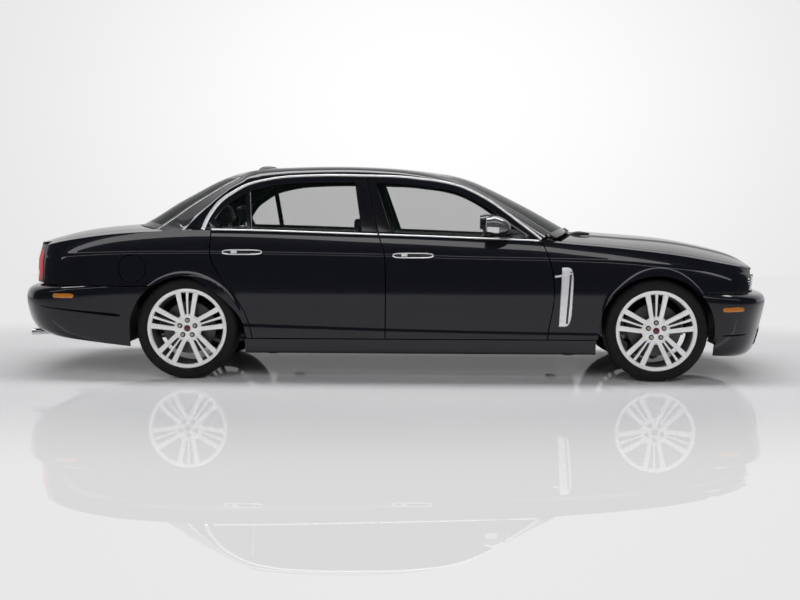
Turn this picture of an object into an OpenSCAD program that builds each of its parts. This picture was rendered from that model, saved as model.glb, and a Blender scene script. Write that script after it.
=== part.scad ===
// Long-wheelbase luxury saloon, in millimetres: +X forward, +Y left, +Z up.
// The ground is Z = 0 and the origin is under the middle of the car.

/* [Overall] */
// Bumper to bumper
overall_length = 5220; // [4900:10:6300]
// Across the doors, without the mirrors
overall_width = 1868; // [1700:4:2240]
// Ground to the top of the roof
overall_height = 1456; // [1350:2:1750]
// Front axle to rear axle
wheelbase = 3160; // [2900:10:3790]
// Bumper face to front axle
front_overhang = 822; // [760:2:990]
// Middle of one front tyre to the other
track = 1556; // [1480:2:1600]

/* [Wheels] */
// Outside of the tyre
tyre_d = 686; // [600:2:720]
// Across the side walls
tyre_w = 255; // [205:5:275]
// Seat of the tyre on the rim
rim_d = 510; // [430:2:540]
// Spoke groups round the rim
spoke_groups = 5; // [4:1:7]
// Tyre to arch, fore and aft
arch_side_gap = 42; // [34:1:60]
// Tyre to front arch, above
front_arch_gap = 28; // [20:1:50]
// Tyre to rear arch, above
rear_arch_gap = 16; // [14:1:50]
// Brake disc
disc_d = 355; // [300:5:380]

/* [Panels] */
// Whole thickness of a door below the glass
door_t = 110; // [80:2:132]
// Thickness of a door's window frame
frame_t = 44; // [30:2:52]
// Wing, quarter and bumper walls
skin_t = 20; // [14:1:24]
// Roof with its lining
roof_t = 30; // [20:1:40]
// Bonnet and boot lid with their inner frames
lid_t = 26; // [18:1:32]
// Window glass
glass_t = 6; // [4:0.5:8]
// Gap between panels that move
shut_gap = 10; // [9:0.5:12]
// Sill, underside above the ground
sill_z = 180; // [160:2:210]
// Width of a door's window frame
frame_w = 36; // [28:1:44]
// Width of the bright strip round the side windows
strip_w = 22; // [18:1:26]
// Fuel flap
flap_d = 184; // [150:2:200]

/* [Cabin] */
// Width of one front seat
seat_w = 540; // [480:5:580]
// Height of the seat back above the cushion
seat_back_h = 640; // [560:5:680]
// Steering wheel
wheel_d = 380; // [340:5:400]

/* [Hidden] */
$fn = 48;
half_w = overall_width / 2;
front_x = overall_length / 2;
front_axle = front_x - front_overhang;
rear_axle = front_axle - wheelbase;
tyre_r = tyre_d / 2;
rim_r = min(rim_d / 2, tyre_r - 78);
hub_y = track / 2;
// King pin, inboard of the middle of the tyre
pin_y = hub_y - 58;

// Styling lines along the body, on the drawing of the car as seen
SHOULDER = 1;
FEATURE = 2;
CROWN = 3;
CREASE = 4;
lines = [
  [-2520, 872, 806, 930, 442],
  [-2190, 938, 836, 1004, 420],
  [-1815, 985, 854, 1038, 394],
  [-1210, 1008, 860, 1040, 378],
  [-40, 977, 844, 1050, 346],
  [540, 957, 829, 1030, 334],
  [1015, 938, 821, 1008, 326],
  [1245, 919, 815, 990, 324],
  [1545, 893, 803, 968, 318],
  [1945, 845, 768, 932, 308],
  [2290, 783, 735, 862, 300],
  [2450, 752, 712, 805, 298],
  [2580, 722, 694, 728, 296],
];
// Middle line over the windscreen, roof and rear window
canopy = [
  [-1900, 1006], [-1740, 1095], [-1590, 1189], [-1440, 1271], [-1290, 1349],
  [-1142, 1403], [-980, 1430], [-772, 1447], [-400, 1456], [-100, 1449],
  [140, 1431], [403, 1397], [549, 1358], [695, 1296], [842, 1223],
  [988, 1148], [1135, 1066], [1290, 978],
];
// Half width of the roof skin and of both screens, along the canopy
edge = [
  [-1900, 720], [-1560, 658], [-1300, 604], [-1170, 578], [-900, 560],
  [-400, 552], [100, 556], [430, 584], [700, 640], [890, 690], [1080, 738],
  [1290, 790],
];
// Outside of the bright strip round the side windows, front to rear
strip = [
  [1075, 912], [983, 992], [882, 1068], [780, 1145], [677, 1217], [563, 1280],
  [459, 1322], [333, 1351], [207, 1367], [61, 1382], [-188, 1389],
  [-450, 1391], [-715, 1380], [-861, 1358], [-984, 1324], [-1094, 1261],
  [-1173, 1198], [-1240, 1100], [-1272, 1014],
];
strip_last = len(strip) - 1;
// Place on the strip of the split between the doors
strip_mid = 9.91;
// Strip place against canopy station, for the pillars and roof rail
rail_pairs = [
  [0, 1285], [3, 890], [6, 560], [8, 290], [10, -190], [12, -760],
  [14, -1130], [16, -1430], [18, -1860],
];
// Inner edge of the quarter's top, along the boot lid and rear pillar
deck_split = [
  [-2400, 560], [-2366, 592], [-2300, 645], [-2200, 686], [-2000, 706], [-1680, 716],
  [-1600, 728], [-1450, 786], [-1250, 836],
];
// Shut lines of the doors: height, X
front_line = [
  [180, 1050], [274, 1056], [374, 1069], [542, 1098], [680, 1095], [755, 1085],
  [868, 1050], [940, 1012],
];
mid_line = [
  [180, -26], [280, -26], [670, -23], [850, -33], [984, -75], [1120, -108],
  [1361, -165], [1400, -174],
];
rear_line = [
  [180, -921], [285, -923], [329, -930], [437, -962], [538, -1018],
  [672, -1117], [786, -1186], [866, -1208], [994, -1206], [1062, -1230],
];
// Bumper profiles: height at the middle, reach, height at the arch
LOW = 2;
nose_rows = [
  [138, 2440, 150], [165, 2500, 190], [213, 2545, 230], [300, 2590, 300],
  [375, 2604, 375], [490, 2610, 480], [540, 2594, 530], [572, 2558, 560],
  [592, 2500, 582],
];
tail_rows = [
  [272, 2490, 205], [302, 2545, 240], [340, 2572, 290], [400, 2592, 360],
  [510, 2610, 500], [575, 2602, 570], [606, 2576, 600], [622, 2530, 614],
  [632, 2470, 624],
];
door_bottom = 284;
nose_reach = 2580;
tail_reach = 2520;
end_power = 14;
side_power = 2.5;
mid_z = 600;
front_sweep = 115;
rear_sweep = 235;
crown_drop = 18;

// The drawing is fitted to the overall sizes here; near the axles it stays rigid
near = 430;
draw_front = 1788;
draw_rear = -1372;
fit_x = [
  [-2610, -front_x],
  [draw_rear - near, rear_axle - near],
  [draw_rear + near, rear_axle + near],
  [draw_front - near, front_axle - near],
  [draw_front + near, front_axle + near],
  [2610, front_x],
];
function seg(tab, x, i = 0) = i >= len(tab) - 2 || x < tab[i + 1][0] ? i : seg(tab, x, i + 1);
function px(x) = let(i = seg(fit_x, x), a = fit_x[i], b = fit_x[i + 1])
  a[1] + (b[1] - a[1]) * (x - a[0]) / (b[0] - a[0]);
function py(y) = y * overall_width / 1868;
function pz(z) = z < 950 ? z : 950 + (z - 950) * (overall_height - 950) / 506;
function put(p) = [px(p.x), py(p.y), pz(p.z)];

function mix(a, b, t) = a + (b - a) * t;
function clamp(t) = max(0, min(1, t));
function ease(a, b, v) = let(t = clamp((v - a) / (b - a))) t * t * (3 - 2 * t);
function steps(n) = [for (i = [0:n]) i / n];
function slope(tab, c, i) = let(a = tab[max(0, i - 1)], b = tab[min(len(tab) - 1, i + 1)])
  (b[c] - a[c]) / (b[0] - a[0]);
// Smooth value of a column at x, the first column rising
function spline(tab, c, x) = let(
    i = seg(tab, x), a = tab[i], b = tab[i + 1], d = b[0] - a[0],
    t = clamp((x - a[0]) / d), u = t * t, v = u * t
  )
  (2 * v - 3 * u + 1) * a[c] + (v - 2 * u + t) * d * slope(tab, c, i)
  + (3 * u - 2 * v) * b[c] + (v - u) * d * slope(tab, c, i + 1);
// Smooth point of a list at a place counted in rows
function along(tab, t) = let(
    n = len(tab) - 1, i = min(n - 1, max(0, floor(t))), f = t - i, u = f * f, v = u * f,
    a = tab[max(0, i - 1)], b = tab[i], c = tab[i + 1], d = tab[min(n, i + 2)]
  )
  b + 0.5 * ((c - a) * f + (2 * a - 5 * b + 4 * c - d) * u + (3 * b - a - 3 * c + d) * v);

// Plan of the body: half width at its widest level
function reach(x) = x > 0 ? nose_reach : tail_reach;
function plan(x, r) = (934 - 6 * x * x / 1e6)
  * pow(max(0, 1 - pow(abs(x) / r, end_power)), 1 / side_power);
function shoulder(x) = spline(lines, SHOULDER, x);
// Body side: half width at a place and height
function tuck(x, z) = let(zs = shoulder(x), zf = spline(lines, FEATURE, x), zl = spline(lines, CREASE, x))
  45 * pow(max(0, (mid_z - z) / 420), 2) + 62 * pow(max(0, (z - mid_z) / (zs - mid_z)), 2.5)
  + 7 * ease(zf - 8, zf + 8, z) - 12 * (1 - ease(zl - 14, zl + 10, z));
function side_y(x, z) = plan(x, reach(x)) - tuck(x, z);
function shoulder_y(x) = side_y(x, shoulder(x));
// Top of the bonnet and boot lid
function deck_z(x, y) = let(zs = shoulder(x), zc = spline(lines, CROWN, x))
  zs + (zc - zs) * (1 - pow(min(1.2, abs(y) / max(50, shoulder_y(x))), 2.4));
// Side windows lean in above the shoulder
function glass_y(x, z) = let(d = max(0, z - shoulder(x)))
  shoulder_y(x) - 12 - 0.36 * d - 0.00035 * d * d;
function skin_y(x, z) = let(zs = shoulder(x))
  z < zs ? side_y(x, z) : mix(shoulder_y(x), glass_y(x, z), ease(zs - 4, zs + 16, z));
// Screens and roof at a station and half width
function sweep(s) = front_sweep * ease(60, 480, s) - rear_sweep * ease(-900, -1260, s);
function canopy_pt(s, y) = [
  s - sweep(s) * y * y / 490000, y,
  spline(canopy, 1, s) - crown_drop * pow(abs(y) / 600, 2.5)
];
// Strip line moved in by d, as [x, z]
function strip_pt(t, d) = let(p = along(strip, t), q = along(strip, min(strip_last, t + 0.1))
    - along(strip, max(0, t - 0.1)), n = norm(q))
  p + d * [-q.y, q.x] / n;
function strip_3d(t, d) = let(p = strip_pt(t, d)) [p.x, -glass_y(p.x, p.y), p.y];

// Closed solids from grids of points; every loop has the same count
function quad(a, b, c, d) = [[a, b, c], [a, c, d]];
module tube(loops) {
  n = len(loops[0]);
  m = len(loops);
  h = n / 2;
  walls = [for (j = [0:m - 2]) for (i = [0:n - 1]) let(k = (i + 1) % n)
    each quad(j * n + i, j * n + k, (j + 1) * n + k, (j + 1) * n + i)];
  first = [for (i = [0:h - 2]) each quad(i, n - 1 - i, n - 2 - i, i + 1)];
  last = [for (f = first) [f[0], f[2], f[1]] + (m - 1) * n * [1, 1, 1]];
  polyhedron([for (l = loops) each [for (p = l) put(p)]], concat(walls, first, last), 12);
}
module ring(loops) {
  n = len(loops[0]);
  m = len(loops);
  polyhedron(
    [for (l = loops) each [for (p = l) put(p)]],
    [for (j = [0:m - 1]) for (i = [0:n - 1]) let(k = (i + 1) % n, g = (j + 1) % m)
      each quad(j * n + i, g * n + i, g * n + k, j * n + k)], 12
  );
}
// Outer points of a column and their inner twins, as one loop
function loop(outer, inner) = concat(outer, [for (i = [len(inner) - 1:-1:0]) inner[i]]);
module both_sides() {
  children();
  mirror([0, 1, 0]) children();
}

// Wheel arch height over the body side
function arch(x, axle, gap) = let(d = (x - axle) / (tyre_r + arch_side_gap))
  abs(d) >= 1 ? 0 : tyre_r + (tyre_r + gap) * sqrt(1 - d * d);

tail_end = -2366;
// Right wing: side columns from the door to the lamp, turned in over the top
function wing_low(x) = max(arch(x, draw_front, front_arch_gap), x < draw_front ? door_bottom : 590);
wing_a = draw_front - tyre_r - arch_side_gap;
wing_b = draw_front + tyre_r + arch_side_gap;
wing_cols = concat(
  [for (t = steps(3)) mix(1078, wing_a, t)],
  [for (i = [1:13]) draw_front - (tyre_r + arch_side_gap) * cos(180 * i / 14)],
  [for (t = steps(4)) mix(wing_b, 2430, t)]
);
wing_rows = [0, 0.15, 0.32, 0.5, 0.68, 0.8, 0.88, 0.94, 1];
function wing_pt(x, v, t) = let(
    z = mix(wing_low(x), shoulder(x), v),
    back = (spline(front_line, 1, z) + shut_gap - 1078) * (1 - ease(1078, 1390, x)),
    nose = (z - 600) * 0.2 * ease(2250, 2430, x)
  )
  [x + back + nose, -side_y(x + back + nose, z) + t * thin(x), z];
// Skins run thin where they meet a lamp
function thin(x) = 1 - 0.85 * ease(2330, 2430, x) - 0.85 * ease(-2280, tail_end, x);
function wing_top(x, d, t) = let(
    back = (spline(front_line, 1, 940) + shut_gap - 1078) * (1 - ease(1078, 1390, x)),
    nose = (shoulder(x) - 600) * 0.2 * ease(2250, 2430, x), q = x + back + nose, y = shoulder_y(q) - d
  )
  [q, -y + (d < 40 ? t * 0.3 : 0), deck_z(q, y) - t * thin(x)];
module right_wing() {
  tube([for (x = wing_cols) loop(
    concat([for (v = wing_rows) wing_pt(x, v, 0)], [wing_top(x, 24, 0), wing_top(x, 48, 0)]),
    concat([for (v = wing_rows) wing_pt(x, v, skin_t)], [wing_top(x, 24, skin_t), wing_top(x, 48, skin_t)])
  )]);
}
module front_wings() {
  color("midnightblue") both_sides() right_wing();
}

// Right quarter: from the rear door back to the tail lamp
function quarter_low(x) = max(arch(x, draw_rear, rear_arch_gap), x > draw_rear ? door_bottom : 632);
quarter_a = draw_rear + tyre_r + arch_side_gap;
quarter_b = draw_rear - tyre_r - arch_side_gap;
quarter_cols = concat(
  [-952, quarter_a],
  [for (i = [1:13]) draw_rear + (tyre_r + arch_side_gap) * cos(180 * i / 14)],
  [for (t = steps(6)) mix(quarter_b, tail_end, t)]
);
quarter_rows = [0, 0.15, 0.3, 0.45, 0.6, 0.72, 0.82, 0.91, 1];
// The door takes the front of the quarter, so columns there start on its shut line
function quarter_pt(x, v, t) = let(
    top = shoulder(min(x, -1250)),
    z = mix(quarter_low(x), top, v),
    edge_x = spline(rear_line, 1, z) - shut_gap,
    q = x > -1420 ? mix(-1420, edge_x, (x + 1420) / (-952 + 1420)) : x
  )
  [q, -side_y(q, min(z, shoulder(q))) + t * thin(x), z];
function quarter_top(x, f, t) = let(
    q = x > -1420 ? mix(-1420, spline(rear_line, 1, 1050) - shut_gap, (x + 1420) / 468) : x,
    y = mix(shoulder_y(q), spline(deck_split, 1, q), f)
  )
  [q, -y + (f < 1 ? t * 0.3 : 0), deck_z(q, y) - t * thin(x)];
module right_quarter() {
  tube([for (x = quarter_cols) loop(
    concat([for (v = quarter_rows) quarter_pt(x, v, skin_t)], [for (f = [0.4, 1]) quarter_top(x, f, skin_t)]),
    concat([for (v = quarter_rows) quarter_pt(x, v, 0)], [for (f = [0.4, 1]) quarter_top(x, f, 0)])
  )]);
}
// Pocket behind the fuel flap, with the pin that the flap turns on
flap_x = -1739;
flap_z = 748;
flap_pin_x = flap_x + flap_d / 2 - 68;
flap_pin_in = 15;
flap_lean_in = side_y(flap_pin_x, flap_z - 60) - side_y(flap_pin_x, flap_z + 60);
flap_pin_lean = atan(flap_lean_in * overall_width / 1868 / 120);
module flap_pin(r, h) {
  translate([px(flap_pin_x), -py(side_y(flap_pin_x, flap_z)) + flap_pin_in, flap_z])
    rotate([-flap_pin_lean, 0, 0]) cylinder(r = r, h = h, center = true);
}
module flap_frame() {
  translate([px(flap_x), -py(side_y(flap_x, flap_z)), flap_z]) rotate([-90, 0, 0]) children();
}
module right_quarter_with_pocket() {
  difference() {
    union() {
      right_quarter();
      flap_frame() translate([0, 0, 8]) cylinder(r = flap_d / 2 + 18, h = 94);
    }
    flap_frame() translate([0, 0, -20]) cylinder(r = flap_d / 2 + 8.5, h = 114);
  }
  flap_pin(4, 202);
}
module rear_quarters() {
  color("midnightblue") {
    right_quarter_with_pocket();
    mirror([0, 1, 0]) right_quarter();
  }
}

// Doors: an outline and a window opening, each four sides of [x, z]
function waist(x) = shoulder(x) + 8;
function front_outline() = concat(
  [for (i = [0:9]) [mix(spline(mid_line, 1, door_bottom) + shut_gap / 2,
    spline(front_line, 1, door_bottom), i / 10),
    door_bottom]],
  [for (i = [0:5]) let(z = mix(door_bottom, 926, i / 6)) [spline(front_line, 1, z), z]],
  [for (i = [0:13]) strip_pt(mix(0.5, strip_mid - 0.03, i / 14), strip_w)],
  [for (i = [0:5]) let(z = mix(1366, door_bottom, pow(i / 6, 0.9)))
    [spline(mid_line, 1, z) + shut_gap / 2, z]]
);
function front_window() = let(b = strip_pt(9.66, strip_w + frame_w)) concat(
  [for (i = [0:9]) let(x = mix(16, 922, i / 10)) [x, waist(x)]],
  [for (i = [0:5]) mix([922, waist(922)], strip_pt(1.45, strip_w + frame_w), i / 6)],
  [for (i = [0:13]) strip_pt(mix(1.45, 9.66, i / 14), strip_w + frame_w)],
  [for (i = [0:5]) mix(b, [16, waist(16)], i / 6)]
);
function rear_outline() = let(
    a = spline(rear_line, 1, door_bottom), b = spline(mid_line, 1, door_bottom) - shut_gap / 2
  )
  concat(
    [for (i = [0:9]) [mix(a, b, i / 10), door_bottom]],
    [for (i = [0:5]) let(z = mix(door_bottom, 1366, pow(i / 6, 1.1)))
      [spline(mid_line, 1, z) - shut_gap / 2, z]],
    [for (i = [0:13]) strip_pt(mix(strip_mid + 0.03, 17.35, i / 14), strip_w)],
    [for (z = [1062, 1000, 890, 740, 590, 430]) [spline(rear_line, 1, z), z]]
  );
function rear_window_loop() = let(
    a = strip_pt(10.22, strip_w + frame_w), b = strip_pt(16.9, strip_w + frame_w)
  ) concat(
  [for (i = [0:9]) let(x = mix(-1158, -186, i / 10)) [x, waist(x)]],
  [for (i = [0:5]) mix([-186, waist(-186)], a, i / 6)],
  [for (i = [0:13]) strip_pt(mix(10.22, 16.9, i / 14), strip_w + frame_w)],
  [for (i = [0:5]) mix(b, [-1158, waist(-1158)], i / 6)]
);
door_rings = [0, 0.065, 0.11, 0.28, 0.45, 0.62, 0.785, 0.815, 0.91, 1];
// Inner face: set back at the hinge edge so that the door swings clear
function set_back(p, front, back) = let(
    f = 1 - ease(0, 150, front - p.x), r = 1 - ease(0, 110, p.x - back), low = 1 - ease(900, 990, p.y)
  )
  [p.x - (78 * low + 4) * f + (36 * low + 4) * r, p.y - 8 * ease(1000, 1100, p.y)];
function door_depth(z) = mix(door_t, frame_t, ease(880, 1010, z));
module door(outline, window, fronts, backs) {
  n = len(outline);
  outer = [for (s = door_rings) [for (i = [0:n - 1]) let(p = mix(outline[i], window[i], s))
    [p.x, -skin_y(p.x, p.y), p.y]]];
  inner = [for (s = [1, 0.55, 0]) [for (i = [0:n - 1]) let(
      q = mix(outline[i], window[i], s),
      p = s == 1 ? q : set_back(q, spline(fronts, 1, q.y), spline(backs, 1, q.y))
    )
    [p.x, -skin_y(p.x, p.y) + door_depth(p.y), p.y]]];
  ring(concat(inner, outer));
}
module right_front_door() {
  door(front_outline(), front_window(), front_line, mid_line);
}
module right_rear_door() {
  door(rear_outline(), rear_window_loop(), mid_line, rear_line);
}
module front_right_door() {
  color("midnightblue") right_front_door();
}
module front_left_door() {
  color("midnightblue") mirror([0, 1, 0]) right_front_door();
}
module rear_right_door() {
  color("midnightblue") right_rear_door();
}
module rear_left_door() {
  color("midnightblue") mirror([0, 1, 0]) right_rear_door();
}

// Window pane filling a loop, set in the middle of the frame
module pane(window) {
  n = len(window);
  mid = [for (k = [0, 1]) [for (p = window) p[k]] * [for (p = window) 1] / n];
  function at(i, s, d) = let(p = mix(window[i] + 0.4 * (mid - window[i]) / norm(mid - window[i]), mid, s))
    [p.x, -glass_y(p.x, max(p.y, shoulder(p.x) + 1)) + 15 + d, p.y];
  pts = concat(
    [for (s = [0, 0.5]) each [for (i = [0:n - 1]) at(i, s, 0)]], [at(0, 1, 0)],
    [for (s = [0, 0.5]) each [for (i = [0:n - 1]) at(i, s, glass_t)]], [at(0, 1, glass_t)]
  );
  b = 2 * n + 1;
  faces = [for (i = [0:n - 1]) let(k = (i + 1) % n) each concat(
    quad(i, n + i, n + k, k), [[n + i, 2 * n, n + k]],
    quad(b + i, b + k, b + n + k, b + n + i), [[b + n + i, b + n + k, b + 2 * n]],
    quad(i, k, b + k, b + i)
  )];
  polyhedron([for (p = pts) put(p)], faces, 12);
}
module front_right_door_glass() {
  color("lightsteelblue", 0.4) pane(front_window());
}
module front_left_door_glass() {
  color("lightsteelblue", 0.4) mirror([0, 1, 0]) pane(front_window());
}
module rear_right_door_glass() {
  color("lightsteelblue", 0.4) pane(rear_window_loop());
}
module rear_left_door_glass() {
  color("lightsteelblue", 0.4) mirror([0, 1, 0]) pane(rear_window_loop());
}

// Panels over the canopy: rows of stations, each across the car
module canopy_panel(stations, inset, t, n) {
  tube([for (s = stations) let(w = spline(edge, 1, s) - inset) loop(
    [for (v = steps(n)) canopy_pt(s, w * (2 * v - 1))],
    [for (v = steps(n)) canopy_pt(s, w * (2 * v - 1)) - [0, 0, t]]
  )]);
}
module roof_panel() {
  color("midnightblue") canopy_panel([for (t = steps(14)) mix(-1192, 414, t)], 0.5, roof_t, 12);
}
module windscreen() {
  color("lightsteelblue", 0.4) canopy_panel([for (t = steps(8)) mix(414.5, 1262, t)], 0.5, glass_t, 12);
}
module rear_window() {
  color("lightsteelblue", 0.4) canopy_panel([for (t = steps(7)) mix(-1846, -1192.5, t)], 0.5, glass_t, 12);
}

// Bonnet and boot lid
function hood_back(y) = 1300 - front_sweep * y * y / 490000;
function end_x(y, z, r, wide) = let(f = min(0.999, (abs(y) + tuck(0.9 * r, z)) / wide))
  r * pow(1 - pow(f, side_power), 1 / end_power);
function nose_x(y, z) = end_x(y, z, nose_reach, 897);
function hood_front(y) = nose_x(y, 700) - 8;
function split_y(x) = shoulder_y(x) - 48 - shut_gap;
function hood_pt(u, v) = let(
    y0 = v * mix(790, 640, u), x = mix(hood_back(y0), hood_front(y0), u), y = v * split_y(x)
  )
  [x, y, deck_z(x, y)];
module bonnet() {
  color("midnightblue") tube([for (u = steps(12)) loop(
    [for (v = steps(16)) hood_pt(u, 2 * v - 1)],
    [for (v = steps(16)) hood_pt(u, 2 * v - 1) - [0, 0, lid_t]]
  )]);
}
function boot_front(y) = -1868 + rear_sweep * y * y / 490000;
function tail_x(y, z) = end_x(y, min(z, shoulder(-2400)), -tail_reach, 899) + 0.15 * max(0, z - 800);
function boot_deck(u, v) = let(
    y0 = v * mix(690, 610, u),
    x = mix(boot_front(y0), tail_x(y0, 940) + 22, u),
    y = v * (spline(deck_split, 1, max(-2400, x)) - shut_gap)
  )
  [x, y, deck_z(x, y)];
function boot_tail(z, v) = let(y = v * (mix(576, 566, (z - 660) / 260) - shut_gap)) [tail_x(y, z), y, z];
boot_path = [
  for (v = steps(12)) concat(
    [for (u = steps(6)) boot_deck(u, 2 * v - 1)],
    [for (z = [906, 860, 800, 735, 670]) boot_tail(z, 2 * v - 1)]
  )
];
function boot_in(p, k) = k < 6 ? p - [0, 0, lid_t] : k == 6 ? p - [-lid_t, 0, lid_t] : p + [lid_t, 0, 0];
module boot_lid() {
  color("midnightblue") tube([for (c = boot_path) loop(
    c, [for (k = [0:len(c) - 1]) boot_in(c[k], k)]
  )]);
}

// Bumpers: profile rows swept round the plan of the end
function bump_pt(rows, k, a, face, t) = let(
    r = rows[k],
    c = pow(max(0.0001, cos(abs(a))), 2 / end_power), s = pow(abs(sin(a)), 2 / side_power),
    x = r[1] * c, z = mix(r[0], r[LOW], pow(s, 6)),
    y = (plan(0, 2610) - tuck(face * 1900, z)) * s
  )
  [face * (x - t * c), sign(a) * (y - t * s), z];
function bump_end(rows, k, stop) = acos(pow(min(0.99, stop / rows[k][1]), end_power / 2));
bump_cols = 26;
module bumper(rows, face, axle, gap) {
  order = face > 0 ? [0, skin_t] : [skin_t, 0];
  ks = [0:len(rows) - 1];
  tube([for (j = [0:bump_cols]) let(u = 2 * j / bump_cols - 1) loop(
    [for (k = ks) bump_pt(rows, k, bump_span(rows, k, axle, gap) * u, face, order[0])],
    [for (k = ks) bump_pt(rows, k, bump_span(rows, k, axle, gap) * u, face, order[1])]
  )]);
}
function bump_span(rows, k, axle, gap) = let(d = max(0, (rows[k][LOW] - tyre_r) / (tyre_r + gap)))
  bump_end(rows, k, abs(axle) + (tyre_r + arch_side_gap) * sqrt(max(0, 1 - d * d)));
function bump_turn(rows, k, axle, gap, j) = bump_span(rows, k, axle, gap) * (2 * j / bump_cols - 1);
module bumper_bracket(rows, face, axle, gap, ks) {
  order = face > 0 ? [skin_t + 0.5, skin_t + 45] : [skin_t + 45, skin_t + 0.5];
  tube([for (j = [9:11]) loop(
    [for (k = ks) bump_pt(rows, k, bump_turn(rows, k, axle, gap, j), face, order[0])],
    [for (k = ks) bump_pt(rows, k, bump_turn(rows, k, axle, gap, j), face, order[1])]
  )]);
}
module front_bumper() {
  color("midnightblue") bumper(nose_rows, 1, draw_front, front_arch_gap);
}
module rear_bumper() {
  color("midnightblue") bumper(tail_rows, -1, draw_rear, rear_arch_gap);
}

// Pillars, roof rail and sill of the right side
function rail_curve(t, v) = let(
    a = strip_3d(t, 0), s = spline(rail_pairs, 1, t), w = spline(edge, 1, s), b = canopy_pt(s, -w - 0.4),
    k = 0.36 + 0.0007 * max(0, a.z - shoulder(a.x)), c = 0.1 + 0.5 * abs(slope(canopy, 1, seg(canopy, s))),
    g = max(4, (-a.y + b.y - k * (b.z - a.z)) / (1 - k * c)),
    m = [(a.x + b.x) / 2, b.y - g, b.z - c * g]
  )
  seat((1 - v) * (1 - v) * a + 2 * v * (1 - v) * m + v * v * b);
function seat(p) = [p.x, p.y, p.x < -1200 ? max(p.z, deck_z(p.x, p.y) + 0.6) : p.z];
rail_first = 0.6;
rail_end = 17.9;
module right_rail() {
  tube([for (t = steps(26)) let(q = mix(rail_end, rail_first, t)) loop(
    [for (v = steps(5)) rail_curve(q, v)],
    [for (v = steps(5)) seat(rail_curve(q, v) + mix([0, 40, -14], [0, 0, -36], v))]
  )]);
}
sill_front = draw_front - tyre_r - arch_side_gap - 18;
sill_back = draw_rear + tyre_r + arch_side_gap + 12;
module right_sill() {
  tube([for (t = steps(8)) let(x = mix(sill_back, sill_front, t)) loop(
    [[x, -side_y(x, sill_z), sill_z], [x, -side_y(x, 226), 226], [x, -side_y(x, 272), door_bottom - shut_gap],
      [x, -788, door_bottom - shut_gap], [x, -784, 338]],
    [[x, -640, sill_z], [x, -640, 220], [x, -640, 250], [x, -640, 262], [x, -640, 338]]
  )]);
}
// Pillars of the right side: middle x, y, height, length and width of each section
centre_post = [
  [-30, -752, 338.4, 190, 60],
  [-50, -740, 700, 130, 60],
  [-72, -735, 985, 110, 52],
  [-130, -640, 1220, 90, 44],
  [-166, -595, 1372.6, 90, 44],
];
front_post = [
  [1050, -712, 338.4, 170, 130],
  [1060, -712, 700, 150, 120],
  [1040, -735, 900, 110, 90],
  [1046, -766, 947.5, 46, 50],
];
back_post = [
  [-950, -668, 338.4, 60, 36],
  [-975, -624, 410, 60, 36],
  [-1200, -622, 760, 60, 40],
  [-1330, -690, 985, 110, 60],
  [-1300, -716.5, 1085.2, 60, 50],
];
module post(rows) {
  tube([for (r = rows) loop(
    [[r.x + r[3] / 2, r.y - r[4] / 2, r.z], [r.x - r[3] / 2, r.y - r[4] / 2, r.z]],
    [[r.x + r[3] / 2, r.y + r[4] / 2, r.z], [r.x - r[3] / 2, r.y + r[4] / 2, r.z]]
  )]);
}
module pillars() {
  color("midnightblue") both_sides() for (rows = [centre_post, front_post, back_post]) post(rows);
}
module side_frames() {
  color("midnightblue") both_sides() {
    right_rail();
    right_sill();
  }
}

// Pads under the sills for a jack or stands
pad_front = 1210;
pad_back = -800;
module jack_pads() {
  color("black") both_sides() for (x = [pad_front, pad_back])
    translate([px(x), -py(770), sill_z - 12.4]) cylinder(r = 40, h = 12);
}

// Floor, tunnel, bulkheads, rails and boot box
module block(a, b) {
  p = put(a);
  q = put(b);
  translate([min(p.x, q.x), min(p.y, q.y), min(p.z, q.z)])
    cube([abs(q.x - p.x), abs(q.y - p.y), abs(q.z - p.z)]);
}
bonnet_pin = [1085, 904];
boot_pin = [-1560, 980];
module floor_pan() {
  color("dimgray") {
    block([-1000, -639.6, 245], [1210, 639.6, 265]);
    block([-400, -95, 250], [1210, 95, 400]);
    block([1195, -600, 250], [1215, 600, 880]);
    block([-1020, -580, 250], [-1000, 580, 460]);
    block([-2350, -580, 440], [-1010, 580, 460]);
    block([-1220, -580, 450], [-1200, 580, 930]);
    block([-1600, -580, 910], [-1210, 580, 930]);
    both_sides() {
      block([-2350, -580, 450], [-1205, -562, 800]);
      block([1200, -440, 400], [2535, -360, 480]);
      bumper_bracket(nose_rows, 1, draw_front, front_arch_gap, [4, 5]);
      block([-2525, -440, 430], [-2340, -360, 490]);
      bumper_bracket(tail_rows, -1, draw_rear, rear_arch_gap, [3, 4]);
      block([1200, -445, 470], [2360, -430, 700]);
      block([1060, -590, 860], [1205, -572, 918]);
      translate([px(bonnet_pin[0]), -682, bonnet_pin[1]]) rotate([-90, 0, 0]) cylinder(r = 6, h = 104);
      block([-1600, -574, 780], [-1520, -562, 1010]);
      translate([px(boot_pin[0]), -690, boot_pin[1]]) rotate([-90, 0, 0]) cylinder(r = 6, h = 122);
    }
    block([2320, -560, 250], [2360, 560, 640]);
    block([-2350, -580, 450], [-2335, 580, 620]);
  }
}
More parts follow.
